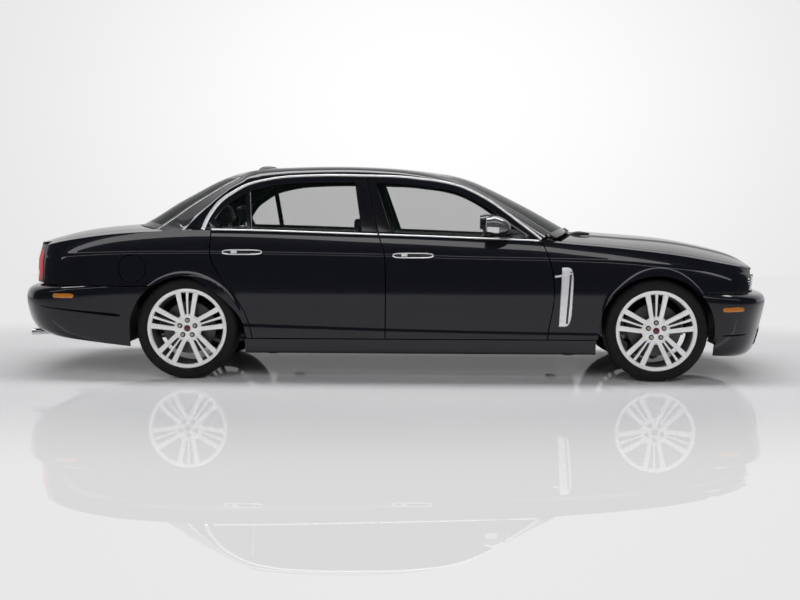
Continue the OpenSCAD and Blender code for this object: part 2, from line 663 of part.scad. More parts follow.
// Hinge arms of the lids: an eye on its pin and an arm that stays clear of the screen's edge
module hinge_arm(pin, y) {
  translate([px(pin[0]), -y, pin[1]]) rotate([90, 0, 0]) linear_extrude(40) difference() {
    union() {
      circle(r = 11);
      children();
    }
    circle(r = 6.05);
  }
}
module bonnet_hinges() {
  color("dimgray") both_sides() {
    tube([for (u = [0, 1, 2]) loop(
      [for (v = [1, 2]) hood_pt(u / 12, v / 8 - 1) - [0, 0, lid_t + 0.4]],
      [for (v = [1, 2]) hood_pt(u / 12, v / 8 - 1) - [0, 0, lid_t + 12]]
    )]);
    hinge_arm(bonnet_pin, 636)
      polygon([[-6, -9], [118, -74], [138, -74], [138, 18], [118, 18], [118, -52], [4, 9]]);
  }
}
module boot_hinges() {
  color("dimgray") both_sides() {
    tube([for (v = [0, 1]) loop(
      [for (k = [0, 1, 2]) boot_path[v][k] - [0, 0, lid_t + 0.4]],
      [for (k = [0, 1, 2]) boot_path[v][k] - [0, 0, lid_t + 12]]
    )]);
    hinge_arm(boot_pin, 640) {
      polygon([[-9, 0], [-9, -131], [9, -131], [9, 0]]);
      polygon(concat(
        [for (i = [0:8]) let(a = 178 + i * 11.25) 132 * [cos(a), sin(a)]],
        [for (i = [8:-1:0]) let(a = 178 + i * 11.25) 112 * [cos(a), sin(a)]]
      ));
    }
  }
}

// Lamps and grille on the nose and tail
lamp_rows = [604, 634, 664, 690, 704];
module headlamps() {
  color("white", 0.6) both_sides() tube([for (j = [0:8]) loop(
    [for (z = lamp_rows) let(y = -mix(side_y(2436 + (z - 600) * 0.2, z), 420, j / 8)) [nose_x(y, z), y, z]],
    [for (z = lamp_rows) let(a = side_y(2436 + (z - 600) * 0.2, z), y = -mix(a, 420, j / 8))
      [nose_x(y, z) - 60, -mix(a - 40, 420, j / 8), z]]
  )]);
}
module grille() {
  color("silver") tube([for (j = [0:10]) let(y = mix(-419.6, 419.6, j / 10)) loop(
    [for (z = lamp_rows) [nose_x(y, z) - 6, y, z]],
    [for (z = lamp_rows) [nose_x(y, z) - 36, y, z]]
  )]);
}
tail_lamp_rows = [640, 700, 760, 820, 870];
module tail_lamps() {
  color("firebrick") both_sides() tube([for (j = [0:6]) loop(
    [for (z = tail_lamp_rows) let(a = side_y(tail_end - 2.8, z), y = -mix(a, 580, j / 6))
      [tail_x(y, z) + 50, -mix(a - 44, 580, j / 6), z]],
    [for (z = tail_lamp_rows) let(y = -mix(side_y(tail_end - 2.8, z), 580, j / 6)) [tail_x(y, z), y, z]]
  )]);
}

// Wheels, drawn round Z with the outside up
module wheel_place(x, side) {
  mirror([0, side > 0 ? 1 : 0, 0]) translate([x, -hub_y, tyre_r]) rotate([90, 0, 0]) children();
}
module tyre() {
  w = tyre_w / 2;
  b = rim_r + 0.3;
  color([0.03, 0.03, 0.03]) rotate_extrude($fn = 96) polygon([
    [b, -w + 30], [b + 16, -w + 22], [b + 34, -w + 4], [b + 48, -w], [tyre_r - 22, -w + 5],
    [tyre_r - 6, -w + 18], [tyre_r, -w + 36], [tyre_r, w - 36], [tyre_r - 6, w - 18],
    [tyre_r - 22, w - 5], [b + 48, w], [b + 34, w - 4], [b + 16, w - 22], [b, w - 30],
  ]);
}
module spoke_gap(r0, r1, w0, w1) {
  polygon([[r0, -w0], [r1, -w1], [r1, w1], [r0, w0]]);
}
module rim() {
  w = tyre_w / 2;
  s = rim_r;
  step = 360 / spoke_groups;
  color("silver") {
    rotate_extrude($fn = 96) polygon([
      [s - 16, -w + 14], [s + 13, -w + 14], [s + 13, -w + 20], [s, -w + 24], [s, -w + 70], [s - 14, -w + 84],
      [s - 14, w - 84], [s, w - 70], [s, w - 24], [s + 13, w - 20], [s + 13, w - 14], [s - 14, w - 14],
      [s - 26, w - 84], [s - 26, -w + 84],
    ]);
    translate([0, 0, w - 58]) linear_extrude(30) difference() {
      circle(r = s - 12, $fn = 96);
      circle(r = 30);
      for (i = [0:spoke_groups - 1]) rotate(90 + i * step) {
        spoke_gap(110, s - 20, 7.5 + 9, 7.5 + 30);
        rotate(step / 2) spoke_gap(92, s - 20, 22, s * 0.31);
      }
    }
    translate([0, 0, 40]) linear_extrude(w - 90) difference() {
      circle(r = 80);
      circle(r = 36);
    }
  }
}
module brake_disc() {
  color("slategray") difference() {
    union() {
      translate([0, 0, -10]) cylinder(r = disc_d / 2, h = 30, $fn = 96);
      cylinder(r = 78, h = 39.7);
    }
    translate([0, 0, -20]) cylinder(r = 32.05, h = 80);
    translate([0, 0, -20]) cylinder(r = 60, h = 40);
  }
}
module spindle_and_brake() {
  translate([0, 0, -60]) cylinder(r = 32, h = 98);
  translate([0, 0, -75]) cylinder(r = 58, h = 40);
  difference() {
    translate([-196, -20, -62]) cube([92, 105, 117]);
    translate([0, 0, -16]) cylinder(r = disc_d / 2 + 6, h = 42, $fn = 96);
    translate([0, 0, -100]) cylinder(r = 108, h = 300);
  }
  translate([-150, -15, -75]) cube([130, 70, 30]);
}
module knuckle() {
  color("gray") {
    spindle_and_brake();
    translate([-35, -165, -76]) cube([70, 350, 36]);
    translate([0, 185, -58]) rotate([90, 0, 0]) translate([0, 0, -40]) cylinder(r = 12, h = 60);
    translate([0, -165, -58]) rotate([90, 0, 0]) translate([0, 0, -20]) cylinder(r = 12, h = 60);
  }
}

// Each corner's wheel, tyre and brake
module front_left_tyre() {
  wheel_place(front_axle, 1) tyre();
}
module front_left_rim() {
  wheel_place(front_axle, 1) rim();
}
module front_left_brake_disc() {
  wheel_place(front_axle, 1) brake_disc();
}
module front_right_tyre() {
  wheel_place(front_axle, -1) tyre();
}
module front_right_rim() {
  wheel_place(front_axle, -1) rim();
}
module front_right_brake_disc() {
  wheel_place(front_axle, -1) brake_disc();
}
module rear_left_tyre() {
  wheel_place(rear_axle, 1) tyre();
}
module rear_left_rim() {
  wheel_place(rear_axle, 1) rim();
}
module rear_left_brake_disc() {
  wheel_place(rear_axle, 1) brake_disc();
}
module rear_right_tyre() {
  wheel_place(rear_axle, -1) tyre();
}
module rear_right_rim() {
  wheel_place(rear_axle, -1) rim();
}
module rear_right_brake_disc() {
  wheel_place(rear_axle, -1) brake_disc();
}
module front_left_knuckle() {
  wheel_place(front_axle, 1) knuckle();
}
module front_right_knuckle() {
  wheel_place(front_axle, -1) knuckle();
}

// Springs, arms and subframes; the eyes hold the king pins
module right_front_arms() {
  difference() {
    union() {
      hull() {
        translate([front_axle, -pin_y, tyre_r - 197]) cylinder(r = 27, h = 24, $fn = 32);
        translate([front_axle - 110, -430, tyre_r - 197]) cube([220, 20, 24]);
      }
      hull() {
        translate([front_axle, -pin_y, tyre_r + 202]) cylinder(r = 24, h = 20, $fn = 32);
        translate([front_axle - 60, -446, tyre_r + 202]) cube([120, 0.7, 20]);
      }
    }
    translate([front_axle, -pin_y, 0]) cylinder(r = 12.05, h = 900);
  }
}
module front_suspension() {
  color("darkslategray") {
    both_sides() right_front_arms();
    translate([front_axle - 130, -420, tyre_r - 197]) cube([260, 840, 70]);
  }
}
module right_rear_hub() {
  wheel_place(rear_axle, -1) {
    spindle_and_brake();
    translate([-60, -130, -110]) cube([120, 230, 50]);
  }
  translate([rear_axle, 0, tyre_r]) rotate([90, 0, 0]) cylinder(r = 20, h = hub_y - 70);
  translate([rear_axle - 40, -hub_y + 70, tyre_r - 95]) cube([80, hub_y - 300, 40]);
}
module rear_suspension() {
  color("darkslategray") {
    both_sides() right_rear_hub();
    translate([rear_axle - 190, -420, tyre_r - 95]) cube([380, 840, 60]);
    translate([rear_axle - 150, -120, tyre_r - 90]) cube([300, 240, 180]);
  }
}
module engine() {
  color("gray") {
    translate([front_axle - 120, -200, tyre_r - 126.6]) cube([240, 400, 80]);
    translate([front_axle - 460, -300, 260]) cube([740, 600, 420]);
    translate([front_axle - 420, -220, 660]) cube([660, 440, 110]);
  }
}
module exhaust() {
  color("darkgray") both_sides() {
    translate([px(1150), -190, 214]) rotate([0, -90, 0]) cylinder(r = 26, h = px(1150) - px(-2050));
    translate([px(-2330), -560, 196]) cube([290, 400, 170]);
    translate([px(-2230), -400, 360]) cube([40, 60, 79.6]);
    translate([px(-2320), -520, 226]) rotate([0, -90, 0]) difference() {
      cylinder(r = 36, h = 205);
      translate([0, 0, 60]) cylinder(r = 32, h = 200);
    }
  }
}

// Cabin
module dashboard() {
  color("saddlebrown") {
    hull() {
      block([960, -555, 640], [1180, 555, 800]);
      block([860, -555, 760], [1100, 555, 930]);
      block([840, -540, 860], [1080, 540, 960]);
    }
    block([240, -85, 400.3], [980, 85, 620]);
    translate([px(880), 370, 850]) rotate([0, -68, 0]) cylinder(r = 34, h = 200);
  }
}
column_tilt = 68;
wheel_at = 235;
module steering_wheel() {
  color([0.1, 0.1, 0.12]) translate([px(880), 370, 850]) rotate([0, -column_tilt, 0])
    translate([0, 0, wheel_at]) {
    rotate_extrude($fn = 64) translate([wheel_d / 2 - 16, 0]) circle(r = 16);
    translate([0, 0, -34.6]) cylinder(r = 70, h = 44);
    translate([-20, -wheel_d / 2 + 16, -12]) cube([40, wheel_d - 32, 16]);
  }
}
module front_seat() {
  w = seat_w / 2;
  translate([px(60), 0, 0]) {
    hull() {
      translate([-190, -w, 330]) cube([560, 2 * w, 60]);
      translate([-200, -w + 20, 480]) cube([540, 2 * w - 40, 40]);
    }
    hull() {
      translate([-240, -w, 470]) cube([120, 2 * w, 30]);
      translate([-430, -w + 60, 470 + seat_back_h]) cube([90, 2 * w - 120, 20]);
    }
    translate([-430, -130, 470 + seat_back_h]) cube([90, 260, 150]);
    translate([-180, -w + 60, 265.3]) cube([520, 2 * w - 120, 80]);
  }
}
module front_seats() {
  color("tan") for (s = [-1, 1]) translate([0, s * 370, 0]) front_seat();
}
module rear_seat() {
  color("tan") {
    hull() {
      block([-990, -600, 300], [-420, 600, 420]);
      block([-1000, -590, 420], [-440, 590, 490]);
    }
    hull() {
      block([-1190, -600, 470], [-900, 600, 500]);
      block([-1199, -560, 480], [-1110, 560, 1060]);
    }
    for (y = [-360, 360]) block([-1195, y - 130, 1050], [-1110, y + 130, 1200]);
    block([-970, -560, 265.3], [-470, 560, 320]);
  }
}

// Door mirrors on pads that follow the door
function door_vertex(k, r, d) = let(p = mix(front_outline()[k], front_window()[k], door_rings[r]))
  [p.x, -skin_y(p.x, p.y) - d, p.y];
module right_mirror() {
  tube([for (k = [8, 9]) loop(
    [for (r = [8, 9]) door_vertex(k, r, 18)], [for (r = [8, 9]) door_vertex(k, r, 0.4)]
  )]);
  hull() {
    translate(put([795, -892, 930])) cube([60, 20, 24], center = true);
    translate(put([770, -950, 985])) cube([70, 30, 20], center = true);
  }
  hull() {
    translate(put([775, -935, 990])) scale([0.7, 1, 1]) sphere(r = 28, $fn = 24);
    translate(put([668, -960, 1000])) scale([0.5, 1, 1]) sphere(r = 36, $fn = 24);
    translate(put([672, -1030, 1068])) scale([0.5, 1, 1]) sphere(r = 40, $fn = 24);
    translate(put([730, -940, 1074])) sphere(r = 38, $fn = 24);
    translate(put([745, -1020, 1010])) sphere(r = 34, $fn = 24);
  }
}
module front_right_mirror() {
  color("midnightblue") right_mirror();
}
module front_left_mirror() {
  color("midnightblue") mirror([0, 1, 0]) right_mirror();
}

// Fuel flap: a disc of the quarter's skin with an eye on its pin
module flap_disc() {
  r = flap_d / 2;
  n = 32;
  function at(d, a, t) = let(x = flap_x + d * cos(a), z = flap_z + d * sin(a)) [x, -side_y(x, z) + t, z];
  pts = [for (t = [0, 6]) each concat(
    [for (d = [r, r * 0.6]) each [for (i = [0:n - 1]) at(d, 360 * i / n, t)]], [at(0, 0, t)]
  )];
  b = 2 * n + 1;
  polyhedron([for (p = pts) put(p)], [for (i = [0:n - 1]) let(k = (i + 1) % n) each concat(
    quad(i, n + i, n + k, k), [[n + i, 2 * n, n + k]],
    quad(b + i, b + k, b + n + k, b + n + i), [[b + n + i, b + n + k, b + 2 * n]],
    quad(i, k, b + k, b + i)
  )], 12);
}
module fuel_flap() {
  color("midnightblue") difference() {
    union() {
      flap_disc();
      flap_pin(10, 40);
    }
    flap_pin(4.05, 100);
  }
}

floor_pan();
side_frames();
pillars();
jack_pads();
roof_panel();
front_wings();
rear_quarters();
front_bumper();
rear_bumper();
bonnet();
boot_lid();
bonnet_hinges();
boot_hinges();
front_left_door();
front_right_door();
rear_left_door();
rear_right_door();
front_left_door_glass();
front_right_door_glass();
rear_left_door_glass();
rear_right_door_glass();
windscreen();
rear_window();
grille();
headlamps();
tail_lamps();
fuel_flap();
front_left_mirror();
front_right_mirror();
front_left_tyre();
front_left_rim();
front_left_brake_disc();
front_right_tyre();
front_right_rim();
front_right_brake_disc();
rear_left_tyre();
rear_left_rim();
rear_left_brake_disc();
rear_right_tyre();
rear_right_rim();
rear_right_brake_disc();
front_left_knuckle();
front_right_knuckle();
front_suspension();
rear_suspension();
engine();
exhaust();
dashboard();
steering_wheel();
front_seats();
rear_seat();
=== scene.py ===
import math
import bmesh
import bpy
from mathutils import Matrix, Vector


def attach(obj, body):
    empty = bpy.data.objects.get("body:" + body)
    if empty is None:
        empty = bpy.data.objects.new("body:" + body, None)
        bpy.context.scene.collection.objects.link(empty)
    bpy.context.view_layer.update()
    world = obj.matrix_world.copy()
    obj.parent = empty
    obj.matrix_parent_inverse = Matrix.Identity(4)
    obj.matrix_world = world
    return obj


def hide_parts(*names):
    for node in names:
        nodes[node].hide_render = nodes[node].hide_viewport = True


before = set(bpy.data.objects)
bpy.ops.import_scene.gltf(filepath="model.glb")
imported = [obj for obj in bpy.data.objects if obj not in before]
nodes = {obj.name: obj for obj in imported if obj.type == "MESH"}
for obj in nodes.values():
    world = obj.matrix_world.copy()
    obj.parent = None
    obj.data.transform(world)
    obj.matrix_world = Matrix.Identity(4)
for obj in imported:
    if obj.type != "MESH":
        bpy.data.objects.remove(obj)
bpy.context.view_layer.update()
mm = 0.001
axisX, axisY, axisZ = Vector((1, 0, 0)), Vector((0, 1, 0)), Vector((0, 0, 1))
right, left = 1, -1  # the drawing below is the right side; left turns it over
hands = (("left", left), ("right", right))
doors = [(end, hand, side) for end in ("front", "rear") for hand, side in hands]


# styling lines of the body in mm: x, shoulder, feature line, crown, lower crease
bodyLines = [
    (-2520, 872, 806, 930, 442), (-2190, 938, 836, 1004, 420), (-1815, 985, 854, 1038, 394),
    (-1210, 1008, 860, 1040, 378), (-40, 977, 844, 1050, 346), (540, 957, 829, 1030, 334),
    (1015, 938, 821, 1008, 326), (1245, 919, 815, 990, 324), (1545, 893, 803, 968, 318),
    (1945, 845, 768, 932, 308), (2290, 783, 735, 862, 300), (2450, 752, 712, 805, 298),
    (2580, 722, 694, 728, 296),
]
shoulderCol, featureCol, crownCol, creaseCol = 1, 2, 3, 4
canopyLine = [  # middle of the screens and roof: x, z
    (-1900, 1006), (-1740, 1095), (-1590, 1189), (-1440, 1271), (-1290, 1349), (-1142, 1403),
    (-980, 1430), (-772, 1447), (-400, 1456), (-100, 1449), (140, 1431), (403, 1397),
    (549, 1358), (695, 1296), (842, 1223), (988, 1148), (1135, 1066), (1290, 978),
]
canopyEdge = [  # half width of the roof skin and screens
    (-1900, 720), (-1560, 658), (-1300, 604), (-1170, 578), (-900, 560), (-400, 552),
    (100, 556), (430, 584), (700, 640), (890, 690), (1080, 738), (1290, 790),
]
stripLine = [  # outside of the bright strip round the side windows, front to rear: x, z
    (1075, 912), (983, 992), (882, 1068), (780, 1145), (677, 1217), (563, 1280), (459, 1322),
    (333, 1351), (207, 1367), (61, 1382), (-188, 1389), (-450, 1391), (-715, 1380),
    (-861, 1358), (-984, 1324), (-1094, 1261), (-1173, 1198), (-1240, 1100), (-1272, 1014),
]
railPairs = [  # place on the strip, canopy station
    (0, 1285), (3, 890), (6, 560), (8, 290), (10, -190), (12, -760), (14, -1130), (16, -1430),
    (18, -1860),
]
deckSplit = [  # inner edge of the rear quarter's top
    (-2400, 560), (-2366, 592), (-2300, 645), (-2200, 686), (-2000, 706), (-1680, 716),
    (-1600, 728), (-1450, 786), (-1250, 836),
]
frontShut = [  # shut lines: z, x
    (180, 1050), (274, 1056), (374, 1069), (542, 1098), (680, 1095), (755, 1085), (868, 1050),
    (940, 1012),
]
midShut = [
    (180, -26), (280, -26), (670, -23), (850, -33), (984, -75), (1120, -108), (1361, -165),
    (1400, -174),
]
rearShut = [
    (180, -921), (285, -923), (329, -930), (437, -962), (538, -1018), (672, -1117), (786, -1186),
    (866, -1208), (994, -1206), (1062, -1230),
]
noseRows = [  # bumper profiles: z in the middle, reach, z at the arch
    (150, 2486, 186), (168, 2532, 212), (215, 2566, 244), (298, 2592, 304), (375, 2606, 375),
    (490, 2630, 480), (540, 2632, 530), (572, 2610, 560), (592, 2545, 582),
]
tailRows = [
    (304, 2505, 220), (330, 2562, 254), (362, 2590, 302), (412, 2612, 366), (510, 2632, 500),
    (575, 2624, 570), (606, 2596, 600), (622, 2548, 614), (632, 2480, 624),
]
body = {
    "doorBottom": 284, "shutGap": 7, "stripWidth": 22, "frameWidth": 36,
    "frameDeep": 42, "noseReach": 2580, "tailReach": 2556, "endPower": 14, "sidePower": 2.5,
    "midHeight": 600, "frontSweep": 115, "rearSweep": 235, "crownDrop": 18, "tailEnd": -2402,
    "frontAxle": 1788, "rearAxle": -1372, "hub": 778, "tyre": 343, "archSide": 385,
    "frontArch": 371, "rearArch": 359, "halfWidth": 934, "sweepSpan": 490000,
    "frontBumperTop": 590, "rearBumperTop": 632, "wingStart": 1078, "wingEnd": 2430, "noseSlant": 0.2,
    "quarterStart": -952, "quarterBlend": -1420,
}


def signed(c, power):  # rounds a square section by a power and keeps the sign
    return math.copysign(abs(c) ** power, c)


def around(t):  # cosine and sine at a share of a full turn
    return math.cos(2 * math.pi * t), math.sin(2 * math.pi * t)


def mix(a, b, t):
    return a + (b - a) * t


def clamp(t):
    return max(0.0, min(1.0, t))


def ease(a, b, v):
    t = clamp((v - a) / (b - a))
    return t * t * (3 - 2 * t)


def slope(table, col, i):
    a, b = table[max(0, i - 1)], table[min(len(table) - 1, i + 1)]
    return (b[col] - a[col]) / (b[0] - a[0])


def spline(table, col, x):
    i = 0
    while i < len(table) - 2 and x >= table[i + 1][0]:
        i += 1
    a, b = table[i], table[i + 1]
    d = b[0] - a[0]
    t = clamp((x - a[0]) / d)
    u, v = t * t, t * t * t
    return ((2 * v - 3 * u + 1) * a[col] + (v - 2 * u + t) * d * slope(table, col, i)
            + (3 * u - 2 * v) * b[col] + (v - u) * d * slope(table, col, i + 1))


def along(table, t):  # smooth point of a list at a place counted in rows
    n = len(table) - 1
    i = min(n - 1, max(0, math.floor(t)))
    f = t - i
    a, b, c, d = (Vector(table[k]) for k in (max(0, i - 1), i, i + 1, min(n, i + 2)))
    return b + 0.5 * ((c - a) * f + (2 * a - 5 * b + 4 * c - d) * f * f + (3 * b - a - 3 * c + d) * f ** 3)


def shoulder(x):
    return spline(bodyLines, shoulderCol, x)


def plan(x, reach):  # half width of the body in plan
    taper = max(0, 1 - (abs(x) / reach) ** body["endPower"])
    return (body["halfWidth"] - 6 * x * x / 1e6) * taper ** (1 / body["sidePower"])


def tuck(x, z, crease=True):  # how far the side leans in at a height
    zs, zf, zl = (spline(bodyLines, col, x) for col in (shoulderCol, featureCol, creaseCol))
    mid = body["midHeight"]
    return (45 * max(0, (mid - z) / 420) ** 2 + 62 * max(0, (z - mid) / (zs - mid)) ** 2.5
            + 5 * ease(zf - 10, zf + 10, z) - 6 * (1 - ease(zl - 20, zl + 16, z) if crease else 1))


def flare(x, z):  # crescent swelling over each wheel arch
    axle, high = (body["frontAxle"], body["frontArch"]) if x > 0 else (body["rearAxle"], body["rearArch"])
    dx, dz = (x - axle) / body["archSide"], (z - body["tyre"]) / high
    off = (math.hypot(dx, dz) - 1) * high
    wide = 52 * max(0.0, math.sin(math.atan2(dz, dx))) ** 1.5 + 4
    return 0 if off > wide or dz < 0 else 16 * (1 - max(0, off) / wide) ** 1.6 * ease(4, 30, wide)


def sideY(x, z):
    return plan(x, body["noseReach"] if x > 0 else body["tailReach"]) - tuck(x, z) + flare(x, z)


def shoulderY(x):
    return sideY(x, shoulder(x))


def deckZ(x, y):  # top of the bonnet and boot lid
    zs, zc = shoulder(x), spline(bodyLines, crownCol, x)
    return zs + (zc - zs) * (1 - min(1.2, abs(y) / max(50, shoulderY(x))) ** 2.4)


def glassY(x, z):  # side windows lean in above the shoulder
    d = max(0, z - shoulder(x))
    return shoulderY(x) - 12 - 0.36 * d - 0.00035 * d * d


def skinY(x, z):
    zs = shoulder(x)
    return sideY(x, z) if z < zs - 4 else mix(sideY(x, min(z, zs)), glassY(x, z), ease(zs - 4, zs + 16, z))


def canopyPoint(s, y):
    sweep = body["frontSweep"] * ease(60, 480, s) - body["rearSweep"] * ease(-900, -1260, s)
    drop = body["crownDrop"] * (abs(y) / 600) ** 2.5
    return Vector((s - sweep * y * y / body["sweepSpan"], y, spline(canopyLine, 1, s) - drop))


def stripPoint(t, d):  # strip line moved in by d, as x, z
    last = len(stripLine) - 1
    q = along(stripLine, min(last, t + 0.1)) - along(stripLine, max(0, t - 0.1))
    return along(stripLine, t) + d * Vector((-q.y, q.x)) / q.length


def onSkin(p, d=0.0):  # a point of the side drawing on the right skin, d proud of it
    return Vector((p[0], -skinY(p[0], p[1]) - d, p[1]))


def arch(x, axle, high):
    d = (x - axle) / body["archSide"]
    return 0 if abs(d) >= 1 else body["tyre"] + high * math.sqrt(1 - d * d)


def noseX(y, z, reach=body["noseReach"], wide=897):
    lean = min(0.999, (abs(y) + tuck(0.9 * reach, z)) / wide)
    return reach * (1 - lean ** body["sidePower"]) ** (1 / body["endPower"])


def tailX(y, z):
    return noseX(y, min(z, shoulder(-2400)), -body["tailReach"], 899) + 0.15 * max(0, z - 800)


# mesh helpers: a grid is placed point by point, then closed, joined and finished
def grid(nu, nv, place, paint=None, merge=True):
    bm = bmesh.new()
    bmesh.ops.create_grid(bm, x_segments=nu, y_segments=nv, size=0.5)
    if paint:
        for f in bm.faces:
            c = f.calc_center_median()
            f.material_index = paint(c.x + 0.5, c.y + 0.5)
    for v in bm.verts:
        v.co = Vector(place(v.co.x + 0.5, v.co.y + 0.5)) * mm
    if merge:
        bmesh.ops.remove_doubles(bm, verts=bm.verts, dist=1e-6)
    return bm


def closeEnds(bm):
    bmesh.ops.holes_fill(bm, edges=[e for e in bm.edges if e.is_boundary], sides=0)
    bmesh.ops.recalc_face_normals(bm, faces=bm.faces)
    return bm


def facing(bm, x, y, z):  # turns an open sheet towards a direction
    bm.normal_update()
    if sum((f.normal * f.calc_area() for f in bm.faces), Vector()).dot(Vector((x, y, z))) < 0:
        bmesh.ops.reverse_faces(bm, faces=bm.faces)
    return bm


def overTo(bm, side):  # the right side's mesh turned over for the left
    if side == left:
        bmesh.ops.scale(bm, vec=(1, -1, 1), verts=bm.verts)
        bmesh.ops.reverse_faces(bm, faces=bm.faces)
    return bm


def joined(*parts):
    whole = bmesh.new()
    for bm in parts:
        mesh = bpy.data.meshes.new("part")
        bm.to_mesh(mesh)
        bm.free()
        whole.from_mesh(mesh)
        bpy.data.meshes.remove(mesh)
    return whole


def moved(bm, at, degrees, axis):  # turned about an axis, then carried to a place in mm
    matrix = Matrix.Translation(Vector(at) * mm) @ Matrix.Rotation(math.radians(degrees), 4, axis)
    bmesh.ops.transform(bm, matrix=matrix, verts=bm.verts)
    return bm


def bothSides(make):
    return joined(make(), overTo(make(), left))


def spun(points, steps, paint=None):  # a closed profile of (radius, height) turned round Z
    bm = bmesh.new()
    verts = [bm.verts.new((r * mm, 0, z * mm)) for r, z in points]
    edges = [bm.edges.new((verts[i - 1], verts[i])) for i in range(len(verts))]
    bmesh.ops.spin(bm, geom=verts + edges, axis=(0, 0, 1), cent=(0, 0, 0), angle=2 * math.pi,
                   steps=steps, use_merge=True)
    bmesh.ops.remove_doubles(bm, verts=bm.verts, dist=1e-6)
    bmesh.ops.recalc_face_normals(bm, faces=bm.faces)
    if paint is not None:
        for f in bm.faces:
            f.material_index = paint
    return bm


def bar(nu, nv, centre, half, power=4.0, paint=0):  # closed bar: centre(u) and the half sizes of its section
    def place(u, v):
        p, across, up = centre(u)
        a, b = half(u)
        c, s = around(v)
        return p + across * (signed(c, 2 / power) * a) + up * (signed(s, 2 / power) * b)
    return closeEnds(grid(nu, nv, place, lambda u, v: paint))


def straight(a, b, half, power=4.0, index=0, steps=12):
    a, b = Vector(a), Vector(b)
    way = (b - a).normalized()
    across = axisY if abs(way.y) < 0.9 else axisX
    up = way.cross(across).normalized()
    return bar(steps, 20, lambda u: (mix(a, b, u), across, up), lambda u: half, power, index)


def piece(name, bm, materials, bodyName, replaced=(), wall=0, edge=0, sharp=35, levels=0):
    mesh = bpy.data.meshes.new(name)
    bm.to_mesh(mesh)
    bm.free()
    for m in materials:
        mesh.materials.append(m)
    mesh.shade_smooth()
    mesh.set_sharp_from_angle(angle=math.radians(sharp))
    ob = bpy.data.objects.new(name, mesh)
    bpy.context.scene.collection.objects.link(ob)
    if wall:
        m = ob.modifiers.new("wall", "SOLIDIFY")
        m.thickness, m.offset = wall * mm, -1
    if edge:
        m = ob.modifiers.new("edge", "BEVEL")
        m.width, m.segments, m.limit_method, m.angle_limit = edge * mm, 2, "ANGLE", math.radians(50)
        m.harden_normals = True
    if levels:
        m = ob.modifiers.new("smooth", "SUBSURF")
        m.levels = m.render_levels = levels
    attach(ob, bodyName)
    if replaced:
        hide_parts(*replaced)
    return ob


# finishes
class Value:  # a socket that takes sums
    def __init__(self, finish, socket):
        self.finish, self.socket = finish, socket

    def sum(self, operation, a, b):
        return self.finish.node("ShaderNodeMath", {"operation": operation}, {0: a, 1: b})

    def __add__(self, other):
        return self.sum("ADD", self, other)

    def __sub__(self, other):
        return self.sum("SUBTRACT", self, other)

    def __mul__(self, other):
        return self.sum("MULTIPLY", self, other)

    __radd__ = __add__

    def above(self, limit):
        return self.sum("GREATER_THAN", self, limit)


class Finish:
    def __init__(self, name, **sockets):
        self.material = bpy.data.materials.new(name)
        self.material.use_nodes = True
        self.tree = self.material.node_tree
        self.shader = self.tree.nodes["Principled BSDF"]
        for key, value in sockets.items():
            self.plug(self.shader.inputs[key.replace("_", " ")], value)

    def plug(self, socket, value):
        if isinstance(value, Value):
            self.tree.links.new(value.socket, socket)
        else:
            socket.default_value = value

    def node(self, kind, settings=None, values=None, out=0):
        n = self.tree.nodes.new(kind)
        for key, value in (settings or {}).items():
            if key == "stops":
                ramp = n.color_ramp.elements
                while len(ramp) < len(value):
                    ramp.new(0.5)
                for stop, (place, colour) in zip(ramp, value):
                    stop.position, stop.color = place, colour
            else:
                setattr(n, key, value)
        for key, value in (values or {}).items():
            self.plug(n.inputs[key], value)
        return Value(self, n.outputs[out])

    def place(self, offset=(0, 0, 0), scale=(1, 1, 1)):
        coords = self.node("ShaderNodeTexCoord", out="Object")
        return self.node("ShaderNodeMapping", None, {"Vector": coords, "Location": offset, "Scale": scale})

    def noise(self, scale, detail=3.0, stretch=(1, 1, 1)):
        return self.node("ShaderNodeTexNoise", None,
                         {"Vector": self.place(scale=stretch), "Scale": scale, "Detail": detail}, "Fac")

    def shades(self, value, dark, light, low=0.3, high=0.7):
        stops = [(low, (*dark, 1)), (high, (*light, 1))]
        return self.node("ShaderNodeValToRGB", {"stops": stops}, {"Fac": value}, "Color")

    def bump(self, height, strength, distance=0.001):
        bumped = self.node("ShaderNodeBump", None,
                           {"Strength": strength, "Distance": distance, "Height": height}, "Normal")
        self.plug(self.shader.inputs["Normal"], bumped)

    def set(self, **sockets):
        for key, value in sockets.items():
            self.plug(self.shader.inputs[key.replace("_", " ")], value)
        return self


def varied(name, dark, light, rough, spread=0.06, scale=60, grain=0, grainScale=900, stretch=(1, 1, 1), **sockets):
    f = Finish(name, **sockets)
    cloud = f.noise(scale, stretch=stretch)
    f.set(Base_Color=f.shades(cloud, dark, light), Roughness=rough + (cloud - 0.5) * spread)
    if grain:
        f.bump(f.noise(grainScale, 4), grain, 0.0005)
    return f


paint = varied("blackPaint", (0.0035, 0.0038, 0.006), (0.005, 0.0053, 0.0085), 0.22, 0.03, 3000,
               Coat_Weight=1.0, Coat_Roughness=0.015, Coat_IOR=1.5, Specular_IOR_Level=0.1).material
glossBlack = varied("glossBlack", (0.004, 0.004, 0.005), (0.007, 0.007, 0.009), 0.12, 0.05, 40).material
chrome = varied("brightMetal", (0.62, 0.62, 0.64), (0.72, 0.72, 0.74), 0.1, 0.06, 25, Metallic=1.0).material
satinMetal = varied("satinMetal", (0.5, 0.5, 0.52), (0.58, 0.58, 0.6), 0.32, 0.08, 40, 0.04, Metallic=1.0).material
alloy = varied("silverAlloy", (0.84, 0.84, 0.835), (0.91, 0.91, 0.905), 0.3, 0.08, 400, Metallic=0.2,
               Coat_Weight=0.6, Coat_Roughness=0.05).material
brightTrim = varied("brightTrim", (0.82, 0.82, 0.82), (0.9, 0.9, 0.9), 0.3, 0.04, 30, Metallic=0.5).material
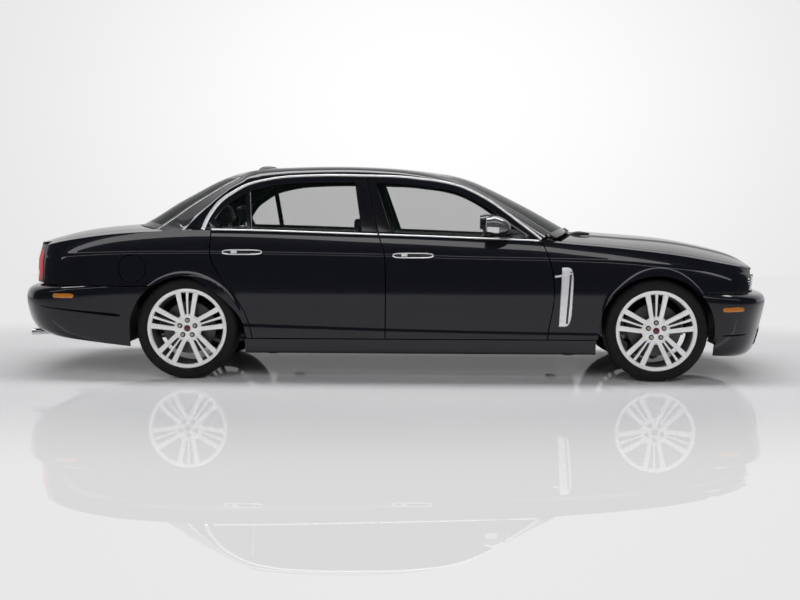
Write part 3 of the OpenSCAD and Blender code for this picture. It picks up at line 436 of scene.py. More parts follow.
rubber = varied("blackRubber", (0.008, 0.008, 0.009), (0.016, 0.016, 0.017), 0.62, 0.1, 80, 0.12).material
plastic = varied("blackPlastic", (0.012, 0.012, 0.013), (0.02, 0.02, 0.022), 0.5, 0.1, 120, 0.15, 1400).material
headlining = varied("navyLining", (0.06, 0.068, 0.125), (0.08, 0.088, 0.16), 0.9, 0.05, 300, 0.25, 1600).material
# cast iron for hinges, suspension and knuckles; also the painted shade of the vent slots
castIronAndSlotShade = varied("castIronAndSlotShade", (0.05, 0.048, 0.046), (0.1, 0.094, 0.088), 0.6, 0.15, 30, 0.3, 400,
                  Metallic=0.7).material
castAlloy = varied("castAlloy", (0.3, 0.3, 0.31), (0.42, 0.42, 0.43), 0.45, 0.15, 22, 0.25, 500,
                   Metallic=0.9).material
steelPipe = varied("exhaustSteel", (0.3, 0.28, 0.26), (0.45, 0.43, 0.41), 0.35, 0.2, 14, 0.1, 300,
                   Metallic=1.0).material
amber = varied("amberLens", (0.4, 0.12, 0.008), (0.55, 0.19, 0.014), 0.15, 0.06, 300, 0.2, 260,
               Coat_Weight=1.0).material
redLens = varied("redLens", (0.42, 0.004, 0.014), (0.55, 0.008, 0.024), 0.3, 0.05, 60, 0.12, 240,
                 Specular_IOR_Level=0.2, Emission_Color=(0.6, 0.008, 0.04, 1), Emission_Strength=0.3).material
# near-black matte finish for painted shade: the bumper crease strips and the sheet inside the lower intake
shade = varied("creaseShade", (0.001, 0.001, 0.001), (0.002, 0.002, 0.002), 0.9, 0.05, 40,
               Specular_IOR_Level=0.08).material
whiteLens = varied("whiteLens", (0.6, 0.6, 0.6), (0.75, 0.75, 0.75), 0.15, 0.05, 60, 0.12, 240,
                   Coat_Weight=1.0).material


def makeLeather():
    f = Finish("navyLeather", Sheen_Weight=0.1)
    cells = f.node("ShaderNodeTexVoronoi", {"feature": "DISTANCE_TO_EDGE"},
                   {"Vector": f.place(), "Scale": 420.0}, "Distance")
    cloud = f.noise(9)
    f.set(Base_Color=f.shades(cloud, (0.012, 0.013, 0.02), (0.022, 0.023, 0.033)),
          Roughness=0.48 + (cloud - 0.5) * 0.14)
    f.bump(cells, 0.25, 0.0006)
    return f.material


def makeWalnut():
    f = Finish("walnut", Coat_Weight=1.0, Coat_Roughness=0.04)
    warp = f.noise(5, 4)
    rings = f.node("ShaderNodeTexWave", {"wave_type": "RINGS", "rings_direction": "X"},
                   {"Vector": f.place(scale=(0.6, 0.16, 1)), "Scale": 9.0, "Distortion": 7.0, "Detail": 4.0}, "Fac")
    f.set(Base_Color=f.shades(rings * 0.7 + warp * 0.3, (0.05, 0.017, 0.006), (0.2, 0.085, 0.03), 0.2, 0.8),
          Roughness=0.35 + (warp - 0.5) * 0.1)
    return f.material


def makeDisc():  # turned face: fine rings about the axle
    f = Finish("turnedDisc", Metallic=1.0)
    split = f.node("ShaderNodeSeparateXYZ", None, {0: f.place()}, "X")
    coords = split.socket.node.outputs
    x = f.node("ShaderNodeMath", {"operation": "ABSOLUTE"}, {0: split - 0.208}) - 1.58
    z = Value(f, coords["Z"]) - body["tyre"] * mm
    r = f.node("ShaderNodeMath", {"operation": "SQRT"}, {0: x * x + z * z})
    rings = f.node("ShaderNodeTexNoise", {"noise_dimensions": "1D"}, {"W": r, "Scale": 1400.0, "Detail": 2.0}, "Fac")
    f.set(Base_Color=f.shades(rings, (0.1, 0.09, 0.083), (0.19, 0.178, 0.167)), Roughness=0.3 + rings * 0.2)
    return f.material


def makeGlass(name, tint, clear):  # thin tinted pane: clear straight on, closed at a glancing angle
    f = Finish(name, Roughness=0.02, Specular_IOR_Level=0.5)
    rim = f.node("ShaderNodeLayerWeight", None, {"Blend": 0.12}, "Fresnel")
    smear = f.noise(2.5)
    f.set(Base_Color=f.shades(smear, tint, tuple(c * 1.15 for c in tint)), Alpha=clear + rim * (1 - clear))
    return f.material


def makeCarpet():  # floor pan: carpet inside the cabin, underseal outside
    f = Finish("carpetAndUnderseal")
    z = Value(f, f.node("ShaderNodeSeparateXYZ", None, {0: f.place()}, "X").socket.node.outputs["Z"])
    pile = f.noise(700, 5)
    inside = z.above(0.262)
    dark = f.shades(pile, (0.012, 0.012, 0.014), (0.03, 0.03, 0.033))
    seal = f.shades(f.noise(16), (0.014, 0.014, 0.014), (0.03, 0.029, 0.027))
    colour = f.node("ShaderNodeMix", {"data_type": "RGBA"}, {0: inside, 6: seal, 7: dark}, 2)
    f.set(Base_Color=colour, Roughness=0.75 + inside * 0.2)
    f.bump(pile, 0.4, 0.002)
    return f.material


def makeTyre():
    f = Finish("tyreRubber", Specular_IOR_Level=0.25)
    dust, fine = f.noise(14), f.noise(900, 4)
    f.set(Base_Color=f.shades(dust, (0.005, 0.005, 0.005), (0.01, 0.0098, 0.0095)),
          Roughness=0.62 + (dust - 0.5) * 0.16)
    f.bump(fine, 0.2, 0.0004)
    return f.material


leather, walnut, turnedDisc, carpet, tyreRubber = makeLeather(), makeWalnut(), makeDisc(), makeCarpet(), makeTyre()
sideGlass = makeGlass("sideGlass", (0.006, 0.012, 0.009), 0.18)
screenGlass = makeGlass("screenGlass", (0.012, 0.016, 0.016), 0.14)
lampGlass = makeGlass("lampGlass", (0.78, 0.79, 0.8), 0.36)
mirrorGlass = varied("mirrorGlass", (0.75, 0.76, 0.78), (0.8, 0.81, 0.83), 0.03, 0.02, 8, Metallic=1.0).material
print("finishes ready")


# body panels
def rowsBetween(x, low, top, counts=(4, 6, 22, 6, 9)):  # heights of a column, dense at the crease and feature line
    zf, zl = spline(bodyLines, featureCol, x), spline(bodyLines, creaseCol, x)
    marks = [low, zl - 22, zl + 18, zf - 12, zf + 12, top]
    for i in range(1, 5):
        marks[i] = max(marks[i], marks[i - 1] + 5)
    rows = [low]
    for a, b, n in zip(marks, marks[1:], counts):
        rows += [mix(a, b, (k + 1) / n) for k in range(n)]
    return rows


sideRows = 47  # rows that rowsBetween gives, less one


def frontColumn(u):  # x along the wing, dense round the arch
    a, b = body["frontAxle"] - body["archSide"], body["frontAxle"] + body["archSide"]
    if u < 0.22:
        return mix(body["wingStart"], a, u / 0.22)
    if u < 0.82:
        return body["frontAxle"] - body["archSide"] * math.cos(math.pi * (u - 0.22) / 0.6)
    return mix(b, body["wingEnd"], (u - 0.82) / 0.18)


def makeWing():
    columns = {}
    top = 5  # rows turned over onto the deck
    rows = sideRows + top

    def place(u, v):
        x = frontColumn(u)
        k = round(v * rows)
        start = 1 - ease(body["wingStart"], 1390, x)
        slant = body["noseSlant"] * ease(2250, body["wingEnd"], x)

        def slid(z, shutZ):  # follows the door's shut line behind and the nose in front
            return x + (spline(frontShut, 1, shutZ) + body["shutGap"] - body["wingStart"]) * start + (z - 600) * slant
        if k >= sideRows:  # from the shoulder inwards
            q = slid(shoulder(x), 940)
            y = shoulderY(q) - 50 * (k - sideRows) / top
            return (q, -y, deckZ(q, y))
        bottom = body["doorBottom"] if x < body["frontAxle"] else body["frontBumperTop"]
        low = max(arch(x, body["frontAxle"], body["frontArch"]), bottom)
        z = columns.setdefault(round(u, 5), rowsBetween(x, low, shoulder(x)))[k]
        q = slid(z, z)
        return (q, -sideY(q, z), z)
    return facing(grid(120, rows, place), 0, -1, 0)


flap = {"x": -1739, "z": 748, "radius": 89, "gap": 6, "deep": 98, "pinX": -1715, "pinIn": 15}


def cutFlapHole(bm):  # a round opening whose edge is bridged to the sheet
    r = flap["radius"] + flap["gap"]
    inside = {f for f in bm.faces if any(math.hypot(v.co.x / mm - flap["x"],
                                                    v.co.z / mm - flap["z"]) < r + 4 for v in f.verts)}
    rim = [e for e in {e for f in inside for e in f.edges} if sum(f in inside for f in e.link_faces) == 1]
    bmesh.ops.delete(bm, geom=list(inside), context="FACES")
    turns = [2 * math.pi * k / 96 for k in range(96)]
    ring = [bm.verts.new(onSkin((flap["x"] + r * math.cos(a), flap["z"] + r * math.sin(a))) * mm) for a in turns]
    bmesh.ops.bridge_loops(bm, edges=rim + [bm.edges.new((ring[k - 1], ring[k])) for k in range(96)])
    bmesh.ops.recalc_face_normals(bm, faces=bm.faces)
    return facing(bm, 0, -1, 0)


def makeQuarter():
    a, b = body["rearAxle"] + body["archSide"], body["rearAxle"] - body["archSide"]
    columns = {}
    rows, top = sideRows + 6, 6
    blend = body["quarterBlend"]

    def column(u):
        if u < 0.06:
            return mix(body["quarterStart"], a, u / 0.06)
        if u < 0.66:
            return body["rearAxle"] + body["archSide"] * math.cos(math.pi * (u - 0.06) / 0.6)
        return mix(b, body["tailEnd"], (u - 0.66) / 0.34)

    def place(u, v):
        x = column(u)
        k = round(v * rows)
        lean = clamp((x - blend) / (body["quarterStart"] - blend))
        if k > sideRows:
            q = mix(blend, spline(rearShut, 1, 1050) - body["shutGap"], lean) if x > blend else x
            y = mix(shoulderY(q), spline(deckSplit, 1, q), (k - sideRows) / top)
            return (q, -y, deckZ(q, y))
        bottom = body["doorBottom"] if x > body["rearAxle"] else body["rearBumperTop"]
        low = max(arch(x, body["rearAxle"], body["rearArch"]), bottom)
        z = columns.setdefault(round(u, 5), rowsBetween(x, low, shoulder(min(x, -1250))))[k]
        q = mix(blend, spline(rearShut, 1, z) - body["shutGap"], lean) if x > blend else x
        return (q, -sideY(q, min(z, shoulder(q))), z)
    return facing(grid(130, rows, place), 0, -1, 0)


piece("frontWings", bothSides(makeWing), [paint], "body", ["front_wings"], wall=9, edge=1.5)
piece("rearQuarters", joined(cutFlapHole(makeQuarter()), overTo(makeQuarter(), left)), [paint], "body",
      ["rear_quarters"], wall=9, edge=1.5)


# doors: a lower box under the waist and a frame round the window
def waist(x):
    return shoulder(x) + 8


stripMid = 9.91
doorShapes = {
    "front": {"shutBack": midShut, "backGap": 3.5, "shutFront": frontShut, "frontGap": 0,
              "corner": (922, 16), "strip": (0.5, stripMid - 0.03), "window": (1.45, 9.66)},
    "rear": {"shutBack": rearShut, "backGap": 0, "shutFront": midShut, "frontGap": -3.5,
             "corner": (-186, -1158), "strip": (stripMid + 0.03, 17.35), "window": (10.22, 16.9)},
}
doorPaint, doorTrim, doorBlack = 0, 1, 2


def doorEdges(shape, z):
    return (spline(shape["shutBack"], 1, z) + shape["backGap"], spline(shape["shutFront"], 1, z) + shape["frontGap"])


def doorBox(shape):  # outer skin up, inner card down, ends filled
    inner = [(1.022, 44), (1.018, 92), (0.9, 104), (0.55, 104), (0.35, 112), (0.12, 106), (0.03, 92), (0.0, 40)]
    total = sideRows + len(inner) + 1

    def place(u, v):
        k = round(v * total) % total
        outer = k <= sideRows
        x = mix(*doorEdges(shape, 600), u)
        if outer:
            z = rowsBetween(x, body["doorBottom"], waist(x))[k]
            back, front = doorEdges(shape, z)
            x = mix(back, front, u)
            return (x, -skinY(x, z), z)
        t, deep = inner[k - sideRows - 1]
        z = mix(body["doorBottom"] + 4, waist(x) - 3, t)
        back, front = doorEdges(shape, z)
        hinge = ease(30, 96, deep)
        x = mix(back + 36 * hinge, front - 80 * hinge, u)
        return (x, -skinY(x, min(z, shoulder(x))) + deep, z)
    trim = (sideRows + 1.5) / total
    return closeEnds(grid(90, total, place, lambda u, v: doorTrim if v > trim else doorPaint))


def frameCurve(name, q):  # outer and inner edge of the window frame at 0..3 along it
    shape = doorShapes[name]
    w = body["stripWidth"], body["stripWidth"] + body["frameWidth"]
    x0, x1 = shape["corner"]
    t0, t1 = shape["strip"]
    i0, i1 = shape["window"]
    if q < 1:
        p = mix(Vector((x0, waist(x0))), stripPoint(i0, w[1]), q)
        if name == "front":
            a = Vector((spline(frontShut, 1, 940), waist(1012)))
            return mix(a, stripPoint(t0, w[0]), q), p
        z = mix(waist(-80), 1366, q)
        return Vector((spline(midShut, 1, z) - 3.5, z)), p
    if q <= 2:
        return stripPoint(mix(t0, t1, q - 1), w[0]), stripPoint(mix(i0, i1, q - 1), w[1])
    p = mix(stripPoint(i1, w[1]), Vector((x1, waist(x1))), q - 2)
    if name == "front":
        z = mix(1366, waist(-80), q - 2)
        return Vector((spline(midShut, 1, z) + 3.5, z)), p
    z = mix(1062, waist(-1206), q - 2)
    return Vector((spline(rearShut, 1, z), z)), p


def doorFrame(name):
    cut = [0.0, 0.02, 0.2, 0.5, 0.8, 0.98, 1.0]
    deep = [4, 1, 0, 0, 0, 1, 5]
    n = 2 * len(cut)

    def place(u, v):
        q = 3 * u
        a, b = frameCurve(name, q)
        k = round(v * n) % n
        if k < len(cut):
            return onSkin(mix(a, b, cut[k]), -deep[k])
        k = n - 1 - k
        p = onSkin(mix(a, b, cut[k]))
        back = body["frameDeep"] if 0 < k < len(cut) - 1 else body["frameDeep"] - 4
        return p + Vector((0, back, 0))

    def stuff(u, v):
        onPost = u > 0.66 if name == "front" else u < 0.335
        return doorTrim if v > 0.5 else doorBlack if onPost else doorPaint
    return closeEnds(grid(150, n, place, stuff))


def windowLoop(name, q):  # window opening at 0..4, from the bottom round
    if q < 1:
        x0, x1 = doorShapes[name]["corner"]
        x = mix(x1, x0, q)
        return Vector((x, waist(x)))
    return frameCurve(name, q - 1)[1]


def pane(name):
    middle = Vector((0, 0))
    for k in range(80):
        middle += windowLoop(name, 4 * k / 80) / 80

    def place(u, v):
        p = windowLoop(name, 4 * (u % 1.0) if u < 1 else 0.0)
        p = mix(p, middle, v * 0.999)
        return (p.x, -glassY(p.x, max(p.y, shoulder(p.x) + 1)) + 15, p.y)
    bm = grid(160, 16, place, None, False)
    bmesh.ops.remove_doubles(bm, verts=bm.verts, dist=0.0009)
    return facing(bm, 0, -1, 0)


for end, hand, side in doors:
    where = end + "_" + hand + "_door"
    name = end + hand.capitalize() + "Door"
    door = joined(doorBox(doorShapes[end]), doorFrame(end))
    piece(name, overTo(door, side), [paint, leather, glossBlack], where, [where], edge=1.2, sharp=40)
    piece(name + "Glass", overTo(pane(end), side), [sideGlass], where, [where + "_glass"], wall=5)
print("doors ready")


# roof and screens
def canopyPanel(first, last, nu, nv, border=None):
    def place(u, v):
        s = mix(first, last, u)
        return canopyPoint(s, (spline(canopyEdge, 1, s) - 0.5) * (2 * v - 1))
    edgeMask = border and (lambda u, v: 1 if min(u, 1 - u) < border[0] or min(v, 1 - v) < border[1] else 0)
    return facing(grid(nu, nv, place, edgeMask), 0, 0, 1)


roof = piece("roofPanel", canopyPanel(-1192, 414, 70, 60), [paint, headlining], "body", ["roof_panel"],
             wall=26)
roof.modifiers["wall"].material_offset = 1  # lining on the inside
piece("windscreen", canopyPanel(414.5, 1262, 50, 60, border=(0.06, 0.03)), [screenGlass, glossBlack], "body",
      ["windscreen"], wall=5.5)
piece("rearWindow", canopyPanel(-1846, -1192.5, 50, 60, border=(0.07, 0.04)), [screenGlass, glossBlack], "body",
      ["rear_window"], wall=5.5)


# roof rails, pillars' skins and sills of both sides
def railPoint(t, v):
    p = stripPoint(t, 0)
    a = Vector((p.x, -glassY(p.x, p.y), p.y))
    s = spline(railPairs, 1, t)
    b = canopyPoint(s, -spline(canopyEdge, 1, s) - 0.4)
    k = 0.36 + 0.0007 * max(0, a.z - shoulder(a.x))
    i = max(j for j in range(len(canopyLine) - 1) if j == 0 or s >= canopyLine[j][0])
    c = 0.1 + 0.5 * abs(slope(canopyLine, 1, i))
    g = max(4, (-a.y + b.y - k * (b.z - a.z)) / (1 - k * c))
    m = Vector(((a.x + b.x) / 2, b.y - g, b.z - c * g))
    w = 1 + 2.5 * ease(12.5, 15.5, t)  # tighter corner on the rear pillar
    parts = (1 - v) ** 2, 2 * w * v * (1 - v), v * v
    return seated((parts[0] * a + parts[1] * m + parts[2] * b) / sum(parts))


def seated(p):
    return Vector((p.x, p.y, max(p.z, deckZ(p.x, p.y) + 0.6))) if p.x < -1200 else p


railRows = 14
sill = {"front": body["frontAxle"] - body["archSide"] - 18, "back": body["rearAxle"] + body["archSide"] + 12}


def makeRail():
    n = 2 * railRows

    def place(u, v):
        t = mix(0.6, 17.9, u)
        k = round(v * n) % n
        if k < railRows:
            return railPoint(t, k / (railRows - 1))
        f = (n - 1 - k) / (railRows - 1)
        return seated(railPoint(t, f) + mix(Vector((0, 40, -14)), Vector((0, 0, -36)), f))
    return closeEnds(grid(110, n, place, lambda u, v: 1 if v > 0.5 else 0))


def makeSill():
    top = body["doorBottom"] - body["shutGap"]
    heights = [180, 192, 205, 220, 235, 250, 262, top]
    inside = [(784, 338), (640, 338), (640, 262), (640, 180)]
    n = len(heights) + 1 + len(inside)

    def place(u, v):
        x = mix(sill["back"], sill["front"], u)
        k = round(v * n) % n
        if k < len(heights):
            z = heights[k]
            return (x, -sideY(x, z) + (6 if k == 0 else 0), z)
        if k == len(heights):
            return (x, -788, top)
        y, z = inside[k - len(heights) - 1]
        return (x, -y, z)
    return closeEnds(grid(60, n, place))


piece("sideFrames", joined(bothSides(makeRail), bothSides(makeSill)), [paint, headlining], "body", ["side_frames"],
      edge=1.2, sharp=40)


# bonnet and boot lid
def splitY(x):
    return shoulderY(x) - 50 - body["shutGap"]


def makeBonnet():  # raised middle, front edge turned down to the grille
    deckRows, lipRows = 84, 8

    def place(u, v):
        v = 2 * v - 1
        k = u * (deckRows + lipRows)
        f, lip = min(1, k / deckRows), clamp((k - deckRows) / lipRows)
        y0 = v * mix(790, 640, f)
        x = mix(1300 - body["frontSweep"] * y0 * y0 / body["sweepSpan"], noseX(y0, 700) - 6, f)
        y = v * splitY(x)
        wide = mix(470, 330, f)
        z = deckZ(x, y) + 9 * (1 - ease(wide, wide + 46, abs(y))) * ease(0, 0.1, f) * ease(1, 0.86, f)
        return (x + 5 * math.sin(math.pi * lip) - 22 * lip, y, mix(z, 708, lip))
    return facing(grid(deckRows + lipRows, 120, place), 0, 0, 1)


def makeBootLid():
    deckRows, tailRowsCount = 44, 30

    def place(u, v):
        v = 2 * v - 1
        k = u * (deckRows + tailRowsCount)
        if k <= deckRows:
            f = k / deckRows
            y0 = v * mix(690, 610, f)
            x = mix(-1868 + body["rearSweep"] * y0 * y0 / body["sweepSpan"], tailX(y0, 940) + 22, f)
            y = v * (spline(deckSplit, 1, max(-2400, x)) - body["shutGap"])
            return (x, y, deckZ(x, y))
        z = mix(915, 642, (k - deckRows) / tailRowsCount)
        y = v * (mix(576, 566, (z - 660) / 260) - body["shutGap"])
        return (tailX(y, z), y, z)
    return facing(grid(deckRows + tailRowsCount, 60, place), -0.4, 0, 1)


piece("bonnetPanel", makeBonnet(), [paint], "bonnet", ["bonnet"], wall=16, edge=2)
piece("bootPanel", makeBootLid(), [paint], "boot_lid", ["boot_lid"], wall=16, edge=2)


# bumpers: profile rows swept round the plan of each end
def bumperZ(r, face, s, x, stop):  # height of a row: held low to the corner in front, straight at the rear
    return mix(r[0], r[2], s ** 6 if face > 0 else clamp((r[1] - abs(x)) / (r[1] - stop)))


def bumperStop(r, axle, high):
    d = max(0, (r[2] - body["tyre"]) / high)
    return abs(axle) + body["archSide"] * math.sqrt(max(0, 1 - d * d))


def bumperPoint(rows, face, axle, high, k, u, proud=0.0):
    r = along(rows, k)
    stop = bumperStop(r, axle, high)
    a = u * math.acos(min(0.99, stop / r[1]) ** (body["endPower"] / 2))
    c = max(0.0001, math.cos(abs(a))) ** (2 / body["endPower"])
    s = abs(math.sin(a)) ** (2 / body["sidePower"])
    z = bumperZ(r, face, s, r[1] * c, stop)
    y = (body["halfWidth"] - tuck(face * 1900, z, False)) * s
    return Vector((face * (r[1] + proud) * c, math.copysign(y + proud * s, a), z))


bumperShapes = {
    "front": (noseRows, 1, body["frontAxle"], body["frontArch"]),
    "rear": (tailRows, -1, body["rearAxle"], body["rearArch"]),
}


def makeBumper(end):
    rows, face, axle, high = bumperShapes[end]

    def place(u, v):
        f = 2 * u - 1
        f = math.copysign(1 - (1 - abs(f)) ** 1.35, f)
        return bumperPoint(rows, face, axle, high, v * (len(rows) - 1), f)
    return facing(grid(140, 48, place), face, 0, 0)


piece("frontBumper", makeBumper("front"), [paint], "body", ["front_bumper"], wall=10, edge=1.5)
piece("rearBumper", makeBumper("rear"), [paint], "body", ["rear_bumper"], wall=10, edge=1.5)
print("body ready")

# wheels, drawn round Z with the outside up, then laid on their axles
wheel = {"groups": 5, "nutCircle": 54, "cap": 27, "spokeHalf": (15, 19), "ribHalf": (6, 10), "hubOut": 94}
tyreSide = [
    (255.3, 97), (261, 103), (269, 107), (275, 114), (281, 121), (289, 125), (301, 127.5), (314, 126), (325, 121),
    (334, 112), (340, 102), (343, 90), (343, 69), (336, 67), (336, 58), (343, 56), (343, 27), (336, 25), (336,
                                                                                                          16), (343,
                                                                                                                14),
]
barrel = [
    (243, -112), (262, -113.5), (270, -112), (270, -106), (256, -102), (254.8, -96), (254.8, -58), (241, -44), (241,
                                                                                                                44),
    (254.8, 58), (254.8, 96), (256, 102), (267, 105), (270.5, 109), (270, 113), (266, 116), (259, 117), (252, 115),
    (246, 109), (243, 98), (240, 84), (232, 44), (229, -44), (233, -100),
]
rimAlloy, rimDark, rimNut, rimShade, rimCap = 0, 1, 2, 3, 4


def onAxle(bm, corner):
    x = body["frontAxle"] if "front" in corner else body["rearAxle"]
    bm = moved(bm, (x, -body["hub"], body["tyre"]), 90, "X")
    return overTo(bm, left if "left" in corner else right)


def spoke(turn, aside, halves, low, r0, r1):  # one arm from the hub to the rim, aside its group's middle line
    a = math.radians(turn)
    out, across = Vector((math.cos(a), math.sin(a), 0)), Vector((-math.sin(a), math.cos(a), 0))

    def centre(u):
        r = mix(r0, r1, u)
        lean = (aside[1] - aside[0]) / (r1 - r0)
        z = mix(wheel["hubOut"] - 12, 96, ease(0, 1, u)) - low + 5 * math.sin(math.pi * u)
        return out * r + across * mix(*aside, u) + Vector((0, 0, z)), (across - out * lean).normalized(), axisZ
    return bar(10, 20, centre, lambda u: (mix(*halves, u * u), 13), 5, rimAlloy)


def disc(radius, z0, z1, at, segments, index):
    bm = bmesh.new()
    bmesh.ops.create_cone(bm, cap_ends=True, segments=segments, radius1=radius * mm, radius2=radius * mm * 0.94,
                          depth=(z1 - z0) * mm, matrix=Matrix.Translation((at[0] * mm, at[1] * mm,
                                                                           (z0 + z1) / 2 * mm)))
    for f in bm.faces:
        f.material_index = index
    return bm


def makeRim():
    h = wheel["hubOut"]
    well = spun(barrel, 120, rimAlloy)
    # the inside of the barrel takes a darker finish: painted shade behind the spokes
    for f in well.faces:
        c = f.calc_center_median()
        if math.hypot(c.x, c.y) < 0.2435 and c.z < 0.094:
            f.material_index = rimShade
    parts = [well,
             spun([(0, 52), (78, 52), (94, 66), (96, 78), (88, h - 6), (74, h - 1), (50, h), (0, h)], 60, rimAlloy),
             spun([(0, h - 4), (wheel["cap"], h - 4), (wheel["cap"], h + 3), (wheel["cap"] - 3, h + 6), (0, h + 7)],
                  40, rimAlloy),
             spun([(0, h + 4), (wheel["cap"] - 5, h + 4), (wheel["cap"] - 5, h + 7), (12, h + 9), (0, h + 9.6)], 40,
                  rimCap)]
    for g in range(wheel["groups"]):
        turn = 90 + g * 360 / wheel["groups"]
        for s in (1, -1):
            parts.append(spoke(turn, (s * 28, s * 62), wheel["spokeHalf"], 0, 66, 249))
        parts.append(spoke(turn, (0, 0), wheel["ribHalf"], 9, 84, 247))
        a = math.radians(turn)
        at = (wheel["nutCircle"] * math.cos(a), wheel["nutCircle"] * math.sin(a))
        parts.append(disc(18, h - 1, h + 0.8, at, 28, rimDark))
        parts.append(disc(11.5, h, h + 9, at, 6, rimNut))
    return joined(*parts)


# dark grey for the inside of the barrel: painted shade behind the spokes
paintedBarrelShade = varied("paintedBarrelShade", (0.1, 0.1, 0.105), (0.16, 0.16, 0.165), 0.5, 0.1, 60, Metallic=0.6).material
capEnamel = varied("capEnamel", (0.07, 0.008, 0.016), (0.12, 0.014, 0.026), 0.25, 0.05, 200, Coat_Weight=1.0).material
nutSteel = varied("nutSteel", (0.62, 0.55, 0.42), (0.78, 0.7, 0.56), 0.3, 0.1, 90, Metallic=1.0).material
for corner in ("front_left", "front_right", "rear_left", "rear_right"):
    name = corner.split("_")[0] + corner.split("_")[1].capitalize()
    bm = spun(tyreSide + [(r, -z) for r, z in reversed(tyreSide)], 128)
    piece(name + "Tyre", onAxle(bm, corner), [tyreRubber], corner + "_wheel", [corner + "_tyre"], sharp=50)
    piece(name + "Rim", onAxle(makeRim(), corner), [alloy, plastic, nutSteel, paintedBarrelShade, capEnamel],
          corner + "_wheel", [corner + "_rim"])


def makeLiner(end):
    axle, across, high = (body["frontAxle"], 402, 386) if end == "front" else (body["rearAxle"], 398, 372)

    def place(u, v):
        a = math.radians(mix(-14, 194, u))
        return (axle + across * math.cos(a), -mix(610, 884, v), body["tyre"] + high * math.sin(a))
    return facing(grid(60, 10, place), 0, 0, -1)


piece("wheelArchLiners", joined(bothSides(lambda: makeLiner("front")), bothSides(lambda: makeLiner("rear"))),
      [plastic],
      "body", wall=2.5)
print("wheels ready")


# bright trim round the windows
def stripBar(t0, t1, d0, d1, proud, index=0, steps=150):  # along the window strip, from d0 to d1 inside its line
    def place(u, v):
        t = mix(t0, t1, u)
        c, s = around(v)
        c, s = signed(c, 0.6), signed(s, 0.6)
        a, b = d0(t), d1(t)
        return onSkin(stripPoint(t, (a + b) / 2 + c * (b - a) / 2), proud * s - 1)
    return closeEnds(grid(steps, 12, place, lambda u, v: index))


def stripInner(t):
    return 14 + 7 * ease(13.5, 17.5, t)


def makeStrip():
    return joined(stripBar(0.62, 17.95, lambda t: 0.5 - 7 * ease(12.5, 16.5, t), stripInner, 5),
                  stripBar(0.62, 17.6, stripInner, lambda t: 21.4, 3, 1))


piece("windowStrip", bothSides(makeStrip), [brightTrim, rubber], "body")


def skinBar(x0, x1, height, half, proud, steps=60, index=0, power=4.0):  # along the side of the body at a height
    def centre(u):
        x = mix(x0, x1, u)
        z = height(x)
        p = onSkin((x, z))
        up = (onSkin((x, z + 3)) - onSkin((x, z - 3))).normalized()
        return p, up, Vector((0, -up.z, up.y))
    return bar(steps, 12, centre, lambda u: (half, proud), power, index)


def stadium(x0, x1, z, half, tube, proud, index):  # bright ring round a handle
    def place(u, v):
        (c, s), (inward, out) = around(u), around(v)
        r = tube * inward
        x = (x0 + x1) / 2 + ((x1 - x0) / 2 + r) * signed(c, 0.45)
        return onSkin((x, z + (half + r) * signed(s, 0.7)), proud + tube * out)
    bm = grid(64, 8, place, lambda u, v: index)
    bmesh.ops.recalc_face_normals(bm, faces=bm.faces)
    return bm


def makeHandle(x0, x1):
    z = spline(bodyLines, featureCol, (x0 + x1) / 2) + 4
    core = skinBar(x0 + 78, x1 - 5, lambda x: z + 1.5 * math.cos((x - x0) / 60), 8.5, 13, 30, 1)
    cup = skinBar(x0 + 6, x0 + 72, lambda x: z, 11, 2.5, 12, 2)
    lock = skinBar(x0 + 56, x0 + 96, lambda x: z, 11, 15, 16, 0, 2.6)
    return joined(stadium(x0, x1, z, 14.5, 4, 13, 0), core, cup, lock)


handlePlaces = {"front": (27, 294), "rear": (-1121, -858)}
waistEnds = {"front": (spline(midShut, 1, 985) + 6, 1002),
             "rear": (spline(rearShut, 1, 1000) + 5, spline(midShut, 1, 985) - 6)}


def makeQuarterLight():  # black bar with a bright edge
    def divider(u, aside=0):
        p = mix(Vector((-950, waist(-950) - 4)), Vector((-983, 1318)), u)
        y = -glassY(p.x, max(p.y, shoulder(p.x) + 1)) + 10
        return Vector((p.x + aside, y, p.y)), axisX, Vector((0, -1, 0))
    return joined(bar(24, 12, divider, lambda u: (17, 7), 6),
                  bar(24, 8, lambda u: divider(u, 17), lambda u: (2, 8), 4, 1))


for end, hand, side in doors:
    where = end + "_" + hand + "_door"
    name = end + hand.capitalize()
    trim = joined(skinBar(*waistEnds[end], lambda x: shoulder(x) + 4, 5.5, 4, 80), makeHandle(*handlePlaces[end]))
    piece(name + "DoorTrim", overTo(trim, side), [brightTrim, paint, plastic], where)
    if end == "rear":
        piece(name + "QuarterLightBar", overTo(makeQuarterLight(), side), [glossBlack, satinMetal], where)


# side vents on the front wings
def ventEdge(v):
    z = mix(368, 768, v)
    x = mix(1134, 1153, v)
    return z, x, x + 42 + 42 * math.sqrt(max(0, 1 - abs(2 * v - 1) ** 5))


def makeVent():
    def face(u, v):
        z, a, b = ventEdge(v)
        rim = min(u, 1 - u) * 12
        return onSkin((mix(a, b, u), z), 7 * clamp(rim) ** 0.5 * clamp(min(v, 1 - v) * 30) ** 0.5 - 1)

    # the slot is a flat dark strip on the plate: painted shade standing for the opening
    def slot(u, v):
        z, a, b = ventEdge(mix(0.06, 0.93, v))
        return onSkin((a + mix(54, 68, u) - 8 * (1 - v), z), 6.6)
    blade = skinBar(1106, 1216, lambda x: 716 - 10 * math.cos((x - 1106) / 36), 7, 13, 24, 0)
    return joined(facing(grid(20, 50, face, lambda u, v: 0), 0, -1, 0),
                  facing(grid(2, 30, slot, lambda u, v: 1), 0, -1, 0), blade)


piece("sideVents", bothSides(makeVent), [brightTrim, castIronAndSlotShade], "body", wall=1.2)
